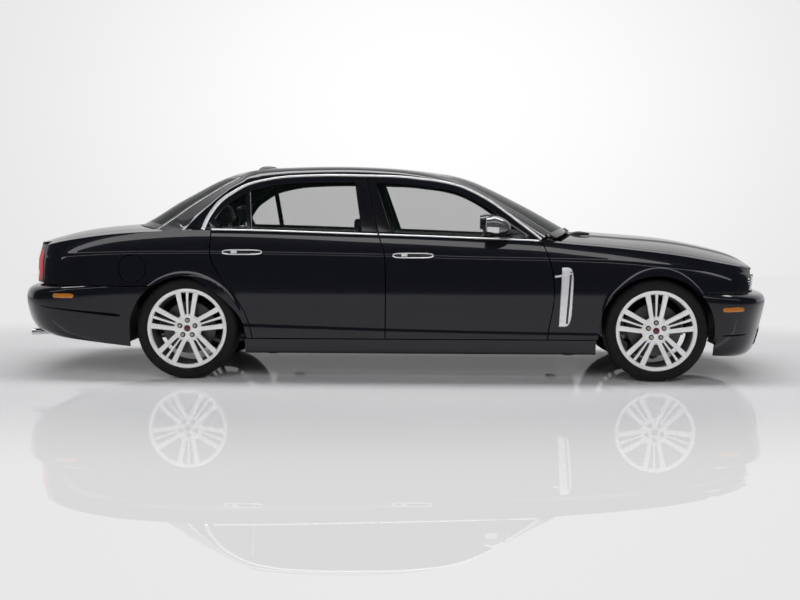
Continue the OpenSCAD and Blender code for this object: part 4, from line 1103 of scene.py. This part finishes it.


# bumper sides: markers, and strips of painted shade along their creases, lie on them
def bumperSide(end, x, z):
    rows, face, axle, high = bumperShapes[end]
    low, top = 0.0, len(rows) - 1.0
    for i in range(30):
        k = (low + top) / 2
        r = along(rows, k)
        s = math.sin(math.acos(min(1, abs(x) / r[1]) ** (body["endPower"] / 2))) ** (2 / body["sidePower"])
        low, top = (k, top) if bumperZ(r, face, s, x, bumperStop(r, axle, high)) < z else (low, k)
    return (body["halfWidth"] - tuck(face * 1900, z, False)) * s


def bumperBar(end, x0, x1, height, half, proud, index=0, power=4.0):
    def centre(u):
        x = mix(x0, x1, u)
        z = height(u)
        return Vector((x, -bumperSide(end, x, z), z)), axisZ, Vector((0, -1, 0))
    return bar(30, 12, centre, lambda u: (half(u), proud), power, index)


def markerHalf(u):
    return 15.5 * math.sqrt(max(0.05, 1 - (2 * u - 1) ** 10))


def makeMarkersAndCreaseShade():
    lens = [bumperBar("front", 2222, 2376, lambda u: 487, markerHalf, 5, 0, 5),
            bumperBar("rear", -2290, -2137, lambda u: 562, markerHalf, 5, 0, 5)]
    # the creases are flat near-black strips laid 1.2 mm proud: painted shade, not a groove in the bumper
    crease = [bumperBar("front", 2225, 2405, lambda u: mix(311, 314, u),
                        lambda u: 6.5 * math.sin(math.pi * mix(0.05, 0.95, u)) ** 0.6, 1.2, 1),
              bumperBar("rear", -2395, -1815, lambda u: mix(486, 432, u),
                        lambda u: mix(2, 12, u) * min(1, 12 * (1.02 - u)), 1.2, 1)]
    return joined(*lens, *crease)


piece("bumperMarkersAndCreaseShade", bothSides(makeMarkersAndCreaseShade), [amber, shade], "body")


def makeIntake():
    def at(k, f, proud):
        return bumperPoint(*bumperShapes["front"], k, mix(-0.5, 0.5, f), proud)
    # the near-black sheet between the bars is painted shade standing for the intake's dark recess
    parts = [facing(grid(50, 10, lambda u, v: at(mix(2.2, 3.5, v), u, 1.5), lambda u, v: 1), 1, 0, 0)]
    for k in (2.2, 2.63, 3.07, 3.5):
        parts.append(bar(50, 10, lambda u: (at(k, u, 1.5), axisZ, axisX), lambda u: (4, 1.5), 3, 0))
    return joined(*parts)


piece("lowerIntake", makeIntake(), [glossBlack, shade], "body", wall=1)


# mirrors on the front doors
def makeMirror():
    at, size = Vector((646, -978, 1040)), (166, 86, 72)

    def shell(u, v):
        f = max(0.0, 1 - u ** 2.4) ** 0.5 * mix(0.78, 1, ease(0, 0.4, u))
        c, s = around(v)
        return at + Vector((u * size[0], signed(c, 0.75) * f * size[1] + 26 * u * u,
                            signed(s, 0.75) * f * size[2] - 14 * u * u + 4))
    cap = grid(28, 40, shell, lambda u, v: 1 if 0.58 < v < 0.92 else 0)
    bmesh.ops.holes_fill(cap, edges=[e for e in cap.edges if e.is_boundary], sides=0)
    for f in cap.faces:
        if len(f.verts) > 6:
            f.material_index = 2
    bmesh.ops.recalc_face_normals(cap, faces=cap.faces)
    foot = bar(10, 16, lambda u: (mix(Vector((716, -950, 990)), Vector((775, -858, 972)), u), axisX, axisZ),
               lambda u: (mix(52, 40, u), mix(20, 14, u)), 3, 1)
    lamp = grid(12, 6, lambda u, v: shell(mix(0.03, 0.5, u), mix(0.5, 0.575, v)) + Vector((0, -2.5, -6)), lambda u,
                v: 3)
    return joined(cap, foot, facing(lamp, 0, -1, 0))


mirrorCap = varied("mirrorCap", (0.2, 0.2, 0.21), (0.26, 0.26, 0.27), 0.25, 0.05, 60, Metallic=0.8,
                   Coat_Weight=1.0).material
for hand, side in hands:
    piece("front" + hand.capitalize() + "Mirror", overTo(makeMirror(), side),
          [mirrorCap, glossBlack, mirrorGlass, whiteLens],
          "front_" + hand + "_door", ["front_" + hand + "_mirror"])


# lamps and grille
def noseSheet(nu, nv, y0, y1, z0, z1, back, index=0):
    def place(u, v):
        z = mix(z0, z1, v)
        y = -mix(y0(z), y1(z), u)
        return (noseX(y, z) - back - noseLean(y, z), y, z)
    return facing(grid(nu, nv, place, lambda u, v: index), 1, 0, 0)


def noseLean(y, z):
    return (26 + 0.4 * (702 - z)) * max(0, 1 - (abs(y) / lampSide(z)) ** 5)


def lampSide(z):
    return sideY(2436 + (z - 600) * 0.2, z) - 1.5


def bowl(x, y, z, radius):
    line = [(4, -34), (radius * 0.6, -26), (radius * 0.9, -10), (radius, 0), (radius + 3, 0),
            (radius * 0.93, -13), (radius * 0.62, -30), (4, -38)]
    return moved(spun(line, 40, 1), (x, y, z), 90, "Y")


def makeLampBack():
    inner = noseSheet(20, 10, lambda z: lampSide(z) - 14, lambda z: 424, 606, 702, 52)
    return joined(inner, *(bowl(noseX(y, 655) - 16 - noseLean(y, 655), -y, 655, 34) for y in (500, 590, 680)))


def lampRim():  # bright edge where each lamp meets its wing
    def centre(u):
        z = mix(609, 699, u)
        return Vector((noseX(lampSide(z) - 3, z) + 2, 3 - lampSide(z), z)), axisY, axisX
    return bar(24, 12, centre, lambda u: (4, 7), 2.5)


piece("headlampRims", bothSides(lampRim), [whiteLens], "body")
piece("headlampLenses", bothSides(lambda: noseSheet(30, 14, lampSide, lambda z: 422, 605, 703, 0)), [lampGlass],
      "body",
      ["headlamps"], wall=3)
piece("headlampBowls", bothSides(makeLampBack), [brightTrim, chrome], "body", wall=1.5)


def makeGrille():
    def post(side):
        def centre(u):
            z = mix(606, 702, u)
            return Vector((noseX(418, z) - 24 - noseLean(418, z), side * 418, z)), axisY, axisX
        return bar(12, 12, centre, lambda u: (5, 24), 4)
    parts = [noseSheet(40, 6, lambda z: -414, lambda z: 414, 606, 702, 56, 1), post(1), post(-1)]
    for z in (608, 627, 646, 665, 684, 701):
        def centre(u):
            y = mix(-415, 415, u)
            return Vector((noseX(y, z) - 40 - noseLean(y, z), y, z)), axisZ, axisX
        parts.append(bar(40, 10, centre, lambda u: (3.5 if 608 < z < 701 else 5, 9), 3, 0))
    return joined(*parts)


piece("grilleBars", makeGrille(), [chrome, plastic], "body", ["grille"], wall=1)


def makeTailLamp():
    def place(u, v):
        z = mix(642, 902, v)
        y = -mix(sideY(body["tailEnd"] - 2.8, z) - 1.5, 582, u)
        return (tailX(y, z), y, z)

    def stuff(u, v):
        v *= 260 / 226
        if v > 1 or u < 0.03 + 0.5 * abs(2 * v - 1) ** 3.5:
            return 2
        return 1 if 0.14 < v < 0.34 and u > 0.6 else 0
    return facing(grid(60, 36, place, stuff), -1, 0, 0)


piece("tailLampLenses", bothSides(makeTailLamp), [redLens, whiteLens, glossBlack], "body", ["tail_lamps"],
      wall=5)


# fuel flap, wiper, antenna pod, exhaust tips
def makeFlap():
    def place(u, v):
        r, a = flap["radius"] * (1 - v * 0.999), 2 * math.pi * u
        return onSkin((flap["x"] + r * math.cos(a), flap["z"] + r * math.sin(a)))
    bm = grid(64, 14, place, None, False)
    bmesh.ops.remove_doubles(bm, verts=bm.verts, dist=0.0002)
    return facing(bm, 0, -1, 0)


flapDepth = -skinY(flap["x"], flap["z"]) + flap["deep"]


def makeFlapCup():
    def place(u, v):
        a = 2 * math.pi * u
        r = (flap["radius"] + flap["gap"] + 3) * min(1, (1 - v) / 0.4)
        x, z = flap["x"] + r * math.cos(a), flap["z"] + r * math.sin(a)
        return (x, mix(-skinY(x, z) + 9, flapDepth, min(1, v / 0.6)), z)
    return facing(grid(64, 10, place), 0, -1, 0)


def flapPin(low, high, half, index):  # along the hinge line, which leans with the skin
    ends = [(flap["pinX"], -skinY(flap["pinX"], flap["z"]) + flap["pinIn"] + (z - flap["z"]) * 0.0938,
             z) for z in (low, high)]
    return straight(ends[0], ends[1], (half, half), 2, index)


def makeFiller():
    cap = spun([(0, 0), (30, 0), (30, 24), (27, 28), (0, 28)], 40, 0)
    cap = moved(cap, (flap["x"] - 38, flapDepth, flap["z"]), 90, "X")
    return joined(cap, flapPin(661, 727, 4, 0), flapPin(769, 835, 4, 0))


piece("fuelFlapSkin", makeFlap(), [paint], "fuel_flap", ["fuel_flap"], wall=6, edge=1.5)
piece("fuelFlapEye", flapPin(728, 768, 10, 0), [plastic], "fuel_flap")
piece("fuelPocket", makeFlapCup(), [plastic], "body", wall=3)
piece("fuelFiller", makeFiller(), [plastic], "body")


def makeWipers():
    def blade(a, b):
        def centre(u):
            return canopyPoint(1268 - 30 * u, mix(a, b, u)) + Vector((2, 0, 5)), axisX, axisZ
        return bar(30, 10, centre, lambda u: (6, 4), 3)
    pivot = bar(20, 14, lambda u: (mix(Vector((1182, -430, 944)), Vector((1384, -400, 984)),
                                       u) + Vector((0, 0, 9 * math.sin(math.pi * u))),
                                   axisY, axisZ),
                lambda u: (26, 4 + 20 * math.sin(math.pi * u) ** 1.3), 2.6)
    return joined(blade(-500, -20), blade(-10, 520), pivot)


piece("wipers", makeWipers(), [plastic], "body")


def makePod():
    def place(u, v):
        f = math.sqrt(max(0.0, 1 - (2 * u - 1) ** 2)) if u > 0.5 else math.sqrt(max(0.0, 1 - (1 - 2 * u) ** 3))
        a = math.pi * v
        return (mix(-1012, -850, u), -42 * f * math.cos(a), 1428 + 36 * f * math.sin(a))
    return facing(grid(24, 16, place), 0, 0, 1)


piece("antennaPod", makePod(), [paint], "body")


def makeExhaust():
    def run(a, b, half, power, index, steps=16):
        return bar(steps, 24, lambda u: (mix(Vector(a), Vector(b), u), axisY, axisZ), half, power, index)
    return joined(run((1150, -190, 226), (-2060, -190, 236), lambda u: (26, 26), 2, 0, 40),
                  run((-2050, -360, 302), (-2330, -360, 306),
                      lambda u: [n * (1 - (2 * u - 1) ** 12) ** 0.4 + 8 for n in (186, 52)], 4, 0),
                  run((-2320, -520, 292), (-2420, -520, 286), lambda u: (24, 20), 2, 0),
                  run((-2405, -520, 284), (-2548, -520, 280), lambda u: (mix(30, 36, u), mix(19, 23, u)), 2.4, 1))


piece("exhaustSystem", bothSides(makeExhaust), [steelPipe, chrome], "body", ["exhaust"], sharp=50)


def screenBar():  # bright bead along the sides of the rear window
    def centre(u):
        s = mix(-1838, -1205, u)
        p = canopyPoint(s, -spline(canopyEdge, 1, s) + 6)
        return p, axisY, axisZ
    return bar(60, 10, centre, lambda u: (8, 5), 3)


piece("rearWindowBeads", bothSides(screenBar), [brightTrim], "body")
print("trim ready")


# cabin: each pad is swelled once as cloth, sewn, then laid in place
padCloth = {"voxel": 14, "pressure": 4.0, "steps": 20, "cap": 24}
seatPads = {
    "cushion": {"half": (272, 248, 74), "bolster": 26, "channels": (-140, -70, 0, 70, 140)},
    "back": {"half": (322, 232, 50), "bolster": 24, "channels": (-130, -65, 0, 65, 130)},
    "rest": {"half": (66, 118, 36), "bolster": 0, "channels": ()},
    "benchCushion": {"half": (274, 580, 76), "bolster": 12,
                     "channels": (-440, -330, -220, -110, 0, 110, 220, 330, 440)},
    "benchBack": {"half": (292, 566, 50), "bolster": 10, "channels": (-440, -330, -220, -110, 0, 110, 220, 330, 440)},
}


def padBlank(half, power=5.0, pull=0.05):  # rounded block, sides drawn in between the corners
    bm = bmesh.new()
    bmesh.ops.create_cube(bm, size=2)
    bmesh.ops.subdivide_edges(bm, edges=bm.edges, cuts=15, use_grid_fill=True)
    for v in bm.verts:
        q = v.co / sum(abs(c) ** power for c in v.co) ** (1 / power)
        v.co = Vector((q.x * half[0] * (1 - pull * (1 - q.y * q.y)), q.y * half[1] * (1 - pull * (1 - q.x * q.x)),
                       q.z * half[2])) * mm
    return bm


def swelled(bm, low):  # cloth under pressure; what rests below low stays
    mesh = bpy.data.meshes.new("blank")
    bm.to_mesh(mesh)
    bm.free()
    ob = bpy.data.objects.new("blank", mesh)
    bpy.context.scene.collection.objects.link(ob)
    even = ob.modifiers.new("even", "REMESH")
    even.mode, even.voxel_size = "VOXEL", padCloth["voxel"] * mm
    start = bpy.data.meshes.new_from_object(ob.evaluated_get(bpy.context.evaluated_depsgraph_get()))
    ob.modifiers.clear()
    ob.data = start
    held = ob.vertex_groups.new(name="held")
    held.add([v.index for v in start.vertices if v.co.z < low * mm], 1.0, "REPLACE")
    cloth = ob.modifiers.new("swell", "CLOTH")
    cloth.settings.use_pressure = True
    cloth.settings.uniform_pressure_force = padCloth["pressure"]
    cloth.settings.vertex_group_mass = "held"
    cloth.settings.effector_weights.gravity = 0
    cloth.point_cache.frame_start, cloth.point_cache.frame_end = 1, padCloth["steps"]
    for k in range(1, padCloth["steps"] + 1):
        bpy.context.scene.frame_set(k)
    after = ob.evaluated_get(bpy.context.evaluated_depsgraph_get()).data
    moves = [b.co - a.co for a, b in zip(start.vertices, after.vertices)]
    ob.modifiers.clear()
    for v, d in zip(start.vertices, moves):
        v.co += d * min(1, padCloth["cap"] * mm / max(1e-9, d.length))
    bpy.context.scene.frame_set(1)
    done = bmesh.new()
    done.from_mesh(start)
    bpy.data.objects.remove(ob)
    bpy.data.meshes.remove(mesh)
    bpy.data.meshes.remove(start)
    return done


def sewn(bm, shape):  # bolsters, channels and the seam round them, after the swelling
    half, lines = shape["half"], shape["channels"]
    for v in bm.verts:
        x, y, z = v.co / mm
        if z < 0:
            continue
        fx, fy = abs(x) / half[0], abs(y) / half[1]
        lift = shape["bolster"] * ease(0.6, 0.88, fy) * (1 - ease(0.8, 1.0, fx))
        if lines:
            edge = lines[-1] + (lines[-1] - lines[-2]) / 2
            near = min([abs(y - c) for c in lines] + [abs(abs(y) - edge)]) if abs(y) < edge + 20 else 99
            lift -= 9 * math.exp(-(near / 11) ** 2) * (1 - ease(0.74, 0.82, fx))
            lift -= 9 * math.exp(-((abs(x) - 0.8 * half[0]) / 11) ** 2) * (1 - ease(edge, edge + 22, abs(y)))
        v.co.z += lift * clamp(z / 20) * mm
    return bm


def copied(mesh):
    bm = bmesh.new()
    bm.from_mesh(mesh)
    return bm


padMeshes = {}
for name, shape in seatPads.items():
    padMeshes[name] = bpy.data.meshes.new(name)
    bm = sewn(swelled(padBlank(shape["half"]), -0.6 * shape["half"][2]), shape)
    bm.to_mesh(padMeshes[name])
    bm.free()
padPlaces = [  # name, shape, place, lean (0 lies flat, 90 stands up facing forwards), node
    ("frontCushion", "cushion", (150, 370, 432), -4, "front_seats"), ("frontBack", "back", (-172, 370, 790), 79,
                                                                      "front_seats"),
    ("frontHeadrest", "rest", (-208, 370, 1186), 82, "front_seats"), ("benchCushion", "benchCushion", (-705, 0, 400),
                                                                      -4, "rear_seat"),
    ("benchBack", "benchBack", (-1052, 0, 768), 67, "rear_seat"), ("rearHeadrest", "rest", (-1178, 360, 1112), 70,
                                                                   "rear_seat"),
]
for name, shape, at, lean, node in padPlaces:
    for hand, side in (("Left", 1), ("Right", -1)) if at[1] else (("", 1),):
        bm = moved(copied(padMeshes[shape]), (at[0], at[1] * side, at[2]), lean, "Y")
        piece(name + hand, bm, [leather], "body", [node], levels=1)
for mesh in padMeshes.values():
    bpy.data.meshes.remove(mesh)


def makeSeatFrames():
    parts = [straight((-120, -370, 305), (400, -370, 305), (210, 38), 6),
             straight((-960, -285, 296), (-480, -285, 296), (270, 28), 6)]
    for y in (-320, -420):
        parts.append(straight((-222, y, 1080), (-226, y, 1150), (6, 6), 2, 1))
    for y in (-310, -410):
        parts.append(straight((-1160, y, 1020), (-1174, y, 1080), (6, 6), 2, 1))
    return joined(*parts)


piece("seatFrames", bothSides(makeSeatFrames), [plastic, satinMetal], "body", ["front_seats", "rear_seat"])

dashLine = [
    (1165, 925), (1080, 955), (980, 966), (905, 958), (868, 936), (856, 905), (862, 878), (868, 846), (880,
                                                                                                       800), (930,
                                                                                                              735),
    (1010, 672), (1120, 652), (1176, 700), (1182, 830), (1165, 925),
]


def makeDash():
    def place(u, v):
        p = along(dashLine, v * (len(dashLine) - 1)) - Vector((1020, 820))
        p *= 1 - 0.08 * abs(2 * u - 1) ** 8
        return (1020 + p.x, mix(-590, 590, u), 820 + p.y)
    top = closeEnds(grid(60, 84, place, lambda u, v: 1 if 5.0 < v * (len(dashLine) - 1) < 7.1 else 0))
    hood = bar(16, 24, lambda u: (Vector((mix(1010, 846, u), 370, mix(950, 962, u))), axisY, axisZ),
               lambda u: (150 - 6 * u, 36), 3, 0)
    stack = straight((866, 0, 880), (950, 0, 610), (112, 16), 8, 2)
    return joined(top, hood, stack, straight((890, 370, 846), (705, 370, 921), (40, 34), 3, 2),
                  straight((250, 0, 515), (975, 0, 515), (84, 104), 7, 0, 20), straight((300, 0, 619), (900, 0, 619),
                                                                                        (58, 5), 6, 1),
                  straight((620, 0, 620), (602, 0, 690), (8, 8), 2, 3), straight((604, 0, 682), (594, 0, 720),
                                                                                 (21, 19), 2.6, 0))


piece("dashboardPanel", makeDash(), [leather, walnut, plastic, satinMetal], "body", ["dashboard"],
      sharp=45)


steering = {"at": (662.1, 370, 938), "tilt": -68, "ring": 174, "grip": 16}


def makeSteering():  # drawn round Z, then tilted to the column
    ring, grip = steering["ring"], steering["grip"]
    turns = [k * math.pi / 10 for k in range(20)]
    parts = [spun([(ring + grip * math.cos(a), grip * math.sin(a)) for a in turns], 96, 0),
             spun([(0, -34), (58, -34), (70, -22), (70, -4), (58, 8), (30, 12), (0, 13)], 48, 0)]
    for a in (90, 270, 155, 205):
        out = Vector((math.cos(math.radians(a)), math.sin(math.radians(a)), 0))
        parts.append(bar(8, 16, lambda u: (out * mix(50, 170, u) + Vector((0, 0, -5 + 4 * u)),
                                           Vector((-out.y, out.x, 0)), axisZ),
                         lambda u: (mix(22, 14, u), 7), 4, 1))
    return moved(joined(*parts), steering["at"], steering["tilt"], "Y")


piece("steeringWheelRim", makeSteering(), [leather, satinMetal], "steering_wheel", ["steering_wheel"],
      sharp=50)
shelf = grid(12, 12, lambda u, v: (mix(-1810, -1215, u), mix(-590, 590, v), mix(1000, 1012, u)))
piece("parcelShelf", facing(shelf, 0, 0, 1), [carpet], "body", wall=8)
wall = grid(16, 10, lambda u, v: (mix(-1040, -1236, v), mix(-730, 730, u), mix(300, 1004, v)))
piece("rearBulkhead", facing(wall, 1, 0, 0), [carpet], "body", wall=8)
print("cabin ready")

# the rest of the cad nodes take finishes
cadFinish = {
    "pillars": plastic, "floor_pan": carpet, "jack_pads": rubber, "bonnet_hinges": castIronAndSlotShade, "boot_hinges": castIronAndSlotShade,
    "front_suspension": castIronAndSlotShade, "rear_suspension": castIronAndSlotShade, "engine": castAlloy,
    "front_left_knuckle": castIronAndSlotShade, "front_right_knuckle": castIronAndSlotShade,
}
for corner in ("front_left", "front_right", "rear_left", "rear_right"):
    cadFinish[corner + "_brake_disc"] = turnedDisc
for name, material in cadFinish.items():
    ob = nodes[name]
    for s in ob.material_slots:
        s.material = material
    if not ob.material_slots:
        ob.data.materials.append(material)

# stage: pale floor with a sheen, white backdrop, soft boxes
stage = {"floorSide": 24.0, "floorCentre": (0.0, 1.0), "wallAt": 12.5, "wallSize": (60.0, 24.0), "pale": 0.86}


def addStage(name, bm, material):
    mesh = bpy.data.meshes.new(name)
    bm.to_mesh(mesh)
    bm.free()
    mesh.materials.append(material)
    ob = bpy.data.objects.new(name, mesh)
    bpy.context.scene.collection.objects.link(ob)
    return ob


def makeFloor():
    bm = bmesh.new()
    bmesh.ops.create_grid(bm, x_segments=1, y_segments=1, size=stage["floorSide"] / 2)
    bmesh.ops.translate(bm, vec=(*stage["floorCentre"], 0), verts=bm.verts)
    f = Finish("paleFloor", Roughness=0.9, Specular_IOR_Level=0.0)
    f.set(Base_Color=f.shades(f.noise(0.4), (0.74, 0.74, 0.745), (0.77, 0.77, 0.775)))
    spot = f.node("ShaderNodeVectorMath", {"operation": "LENGTH"}, {0: f.place(scale=(0.62, 1, 1))}, "Value")
    far = f.node("ShaderNodeMapRange", {"interpolation_type": "SMOOTHSTEP"},
                 {"Value": spot, "From Min": 1.9, "From Max": 4.2})
    seen = f.node("ShaderNodeLightPath", out="Is Camera Ray")
    level = stage["pale"]
    even = f.node("ShaderNodeEmission", None, {"Color": (level, level, level * 1.005, 1), "Strength": 1.0},
                  "Emission")
    base = f.node("ShaderNodeMixShader", None, {0: far * seen, 1: Value(f, f.shader.outputs["BSDF"]), 2: even},
                  "Shader")
    sheen = f.node("ShaderNodeBsdfGlossy", None, {"Roughness": 0.012, "Color": (1, 1, 1, 1)}, "BSDF")
    both = f.node("ShaderNodeMixShader", None, {0: 0.19, 1: base, 2: sheen}, "Shader")
    f.plug(f.tree.nodes["Material Output"].inputs["Surface"], both)
    return addStage("floor", bm, f.material)


def makeBackdrop():  # white in the middle, paler grey to the sides and down to the floor
    bm = bmesh.new()
    bmesh.ops.create_grid(bm, x_segments=1, y_segments=1, size=0.5)
    bmesh.ops.scale(bm, vec=(stage["wallSize"][0], stage["wallSize"][1], 1), verts=bm.verts)
    bmesh.ops.rotate(bm, cent=(0, 0, 0), matrix=Matrix.Rotation(math.radians(90), 3, "X"), verts=bm.verts)
    bmesh.ops.translate(bm, vec=(0, stage["wallAt"], stage["wallSize"][1] / 2 - 0.3), verts=bm.verts)
    w = Finish("whiteBackdrop", Base_Color=(0.8, 0.8, 0.8, 1), Roughness=1.0)
    spot = w.node("ShaderNodeVectorMath", {"operation": "LENGTH"},
                  {0: w.place((0.0, 0.0, -0.42), (0.105, 0, 0.145))}, "Value")
    glow = w.node("ShaderNodeMapRange", {"interpolation_type": "SMOOTHSTEP"},
                  {"Value": spot, "From Min": 0.1, "From Max": 0.95, "To Min": 1.0, "To Max": 0.8})
    rays = w.node("ShaderNodeLightPath", out="Is Camera Ray")
    outs = rays.socket.node.outputs
    seen = rays + Value(w, outs["Is Glossy Ray"]) * 0.6 + Value(w, outs["Is Transmission Ray"])
    white = w.node("ShaderNodeEmission", None, {"Color": glow, "Strength": 1.0}, "Emission")
    both = w.node("ShaderNodeMixShader", None, {0: seen, 1: Value(w, w.shader.outputs["BSDF"]), 2: white}, "Shader")
    w.plug(w.tree.nodes["Material Output"].inputs["Surface"], both)
    return addStage("backdrop", bm, w.material)


def softBox(name, place, target, size, radiance, mirrored=True):
    lamp = bpy.data.lights.new(name, "AREA")
    lamp.shape, lamp.size, lamp.size_y = "RECTANGLE", *size
    lamp.energy = radiance * math.pi * size[0] * size[1]
    ob = bpy.data.objects.new(name, lamp)
    ob.location = place
    ob.visible_glossy = mirrored
    ob.rotation_euler = (Vector(target) - Vector(place)).to_track_quat("-Z", "Y").to_euler()
    bpy.context.scene.collection.objects.link(ob)


makeFloor()
makeBackdrop()
softBox("overhead", (0, 0.3, 4.8), (0, 0.3, 0), (10.0, 1.6), 5.6)
softBox("edgeStrip", (0, -7.0, 5.75), (0, 0, 0.8), (36.0, 0.9), 2.6)
softBox("nearFill", (0.3, -7.5, 3.2), (0, 0, 0.5), (12.0, 2.5), 3.0, False)
softBox("farFill", (0, 7.0, 4.2), (0, 0, 0.3), (12.0, 1.5), 2.4, False)
world = bpy.data.worlds.new("studio")
bpy.context.scene.world = world
world.use_nodes = True
sky = world.node_tree.nodes
sky["Background"].inputs["Color"].default_value = (0.05, 0.053, 0.066, 1)
paleSky = sky.new("ShaderNodeBackground")  # seen straight only, past the floor's edge
paleSky.inputs["Color"].default_value = (0.9, 0.9, 0.905, 1)
skyMix = sky.new("ShaderNodeMixShader")
for a, b in ((sky.new("ShaderNodeLightPath").outputs["Is Camera Ray"], skyMix.inputs[0]),
             (sky["Background"].outputs[0], skyMix.inputs[1]),
             (paleSky.outputs[0], skyMix.inputs[2]), (skyMix.outputs[0], sky["World Output"].inputs["Surface"])):
    world.node_tree.links.new(a, b)

# camera at the photograph's place: yaw towards the rear, tilt down, slight roll
shot = {"at": (0.4193, -9.4807, 1.1669), "yaw": 0.0403, "tilt": 0.0724, "roll": 0.0020, "focal": 1282.9, "wide": 800}


def makeCamera():
    cam = bpy.data.cameras.new("shot")
    cam.sensor_width = 36.0
    cam.lens = shot["focal"] / shot["wide"] * cam.sensor_width
    ob = bpy.data.objects.new("shot", cam)
    yaw, tilt, roll = shot["yaw"], shot["tilt"], shot["roll"]
    ahead = Vector((-math.sin(yaw) * math.cos(tilt), math.cos(yaw) * math.cos(tilt), -math.sin(tilt)))
    across = ahead.cross(axisZ).normalized()
    up = across.cross(ahead)
    r = math.cos(roll) * across + math.sin(roll) * up
    u = -math.sin(roll) * across + math.cos(roll) * up
    turn = Matrix((r, u, -ahead)).transposed()
    ob.matrix_world = Matrix.Translation(shot["at"]) @ turn.to_4x4()
    bpy.context.scene.collection.objects.link(ob)
    bpy.context.scene.camera = ob


makeCamera()
bpy.context.scene.view_settings.view_transform = "Standard"

print("scene ready")
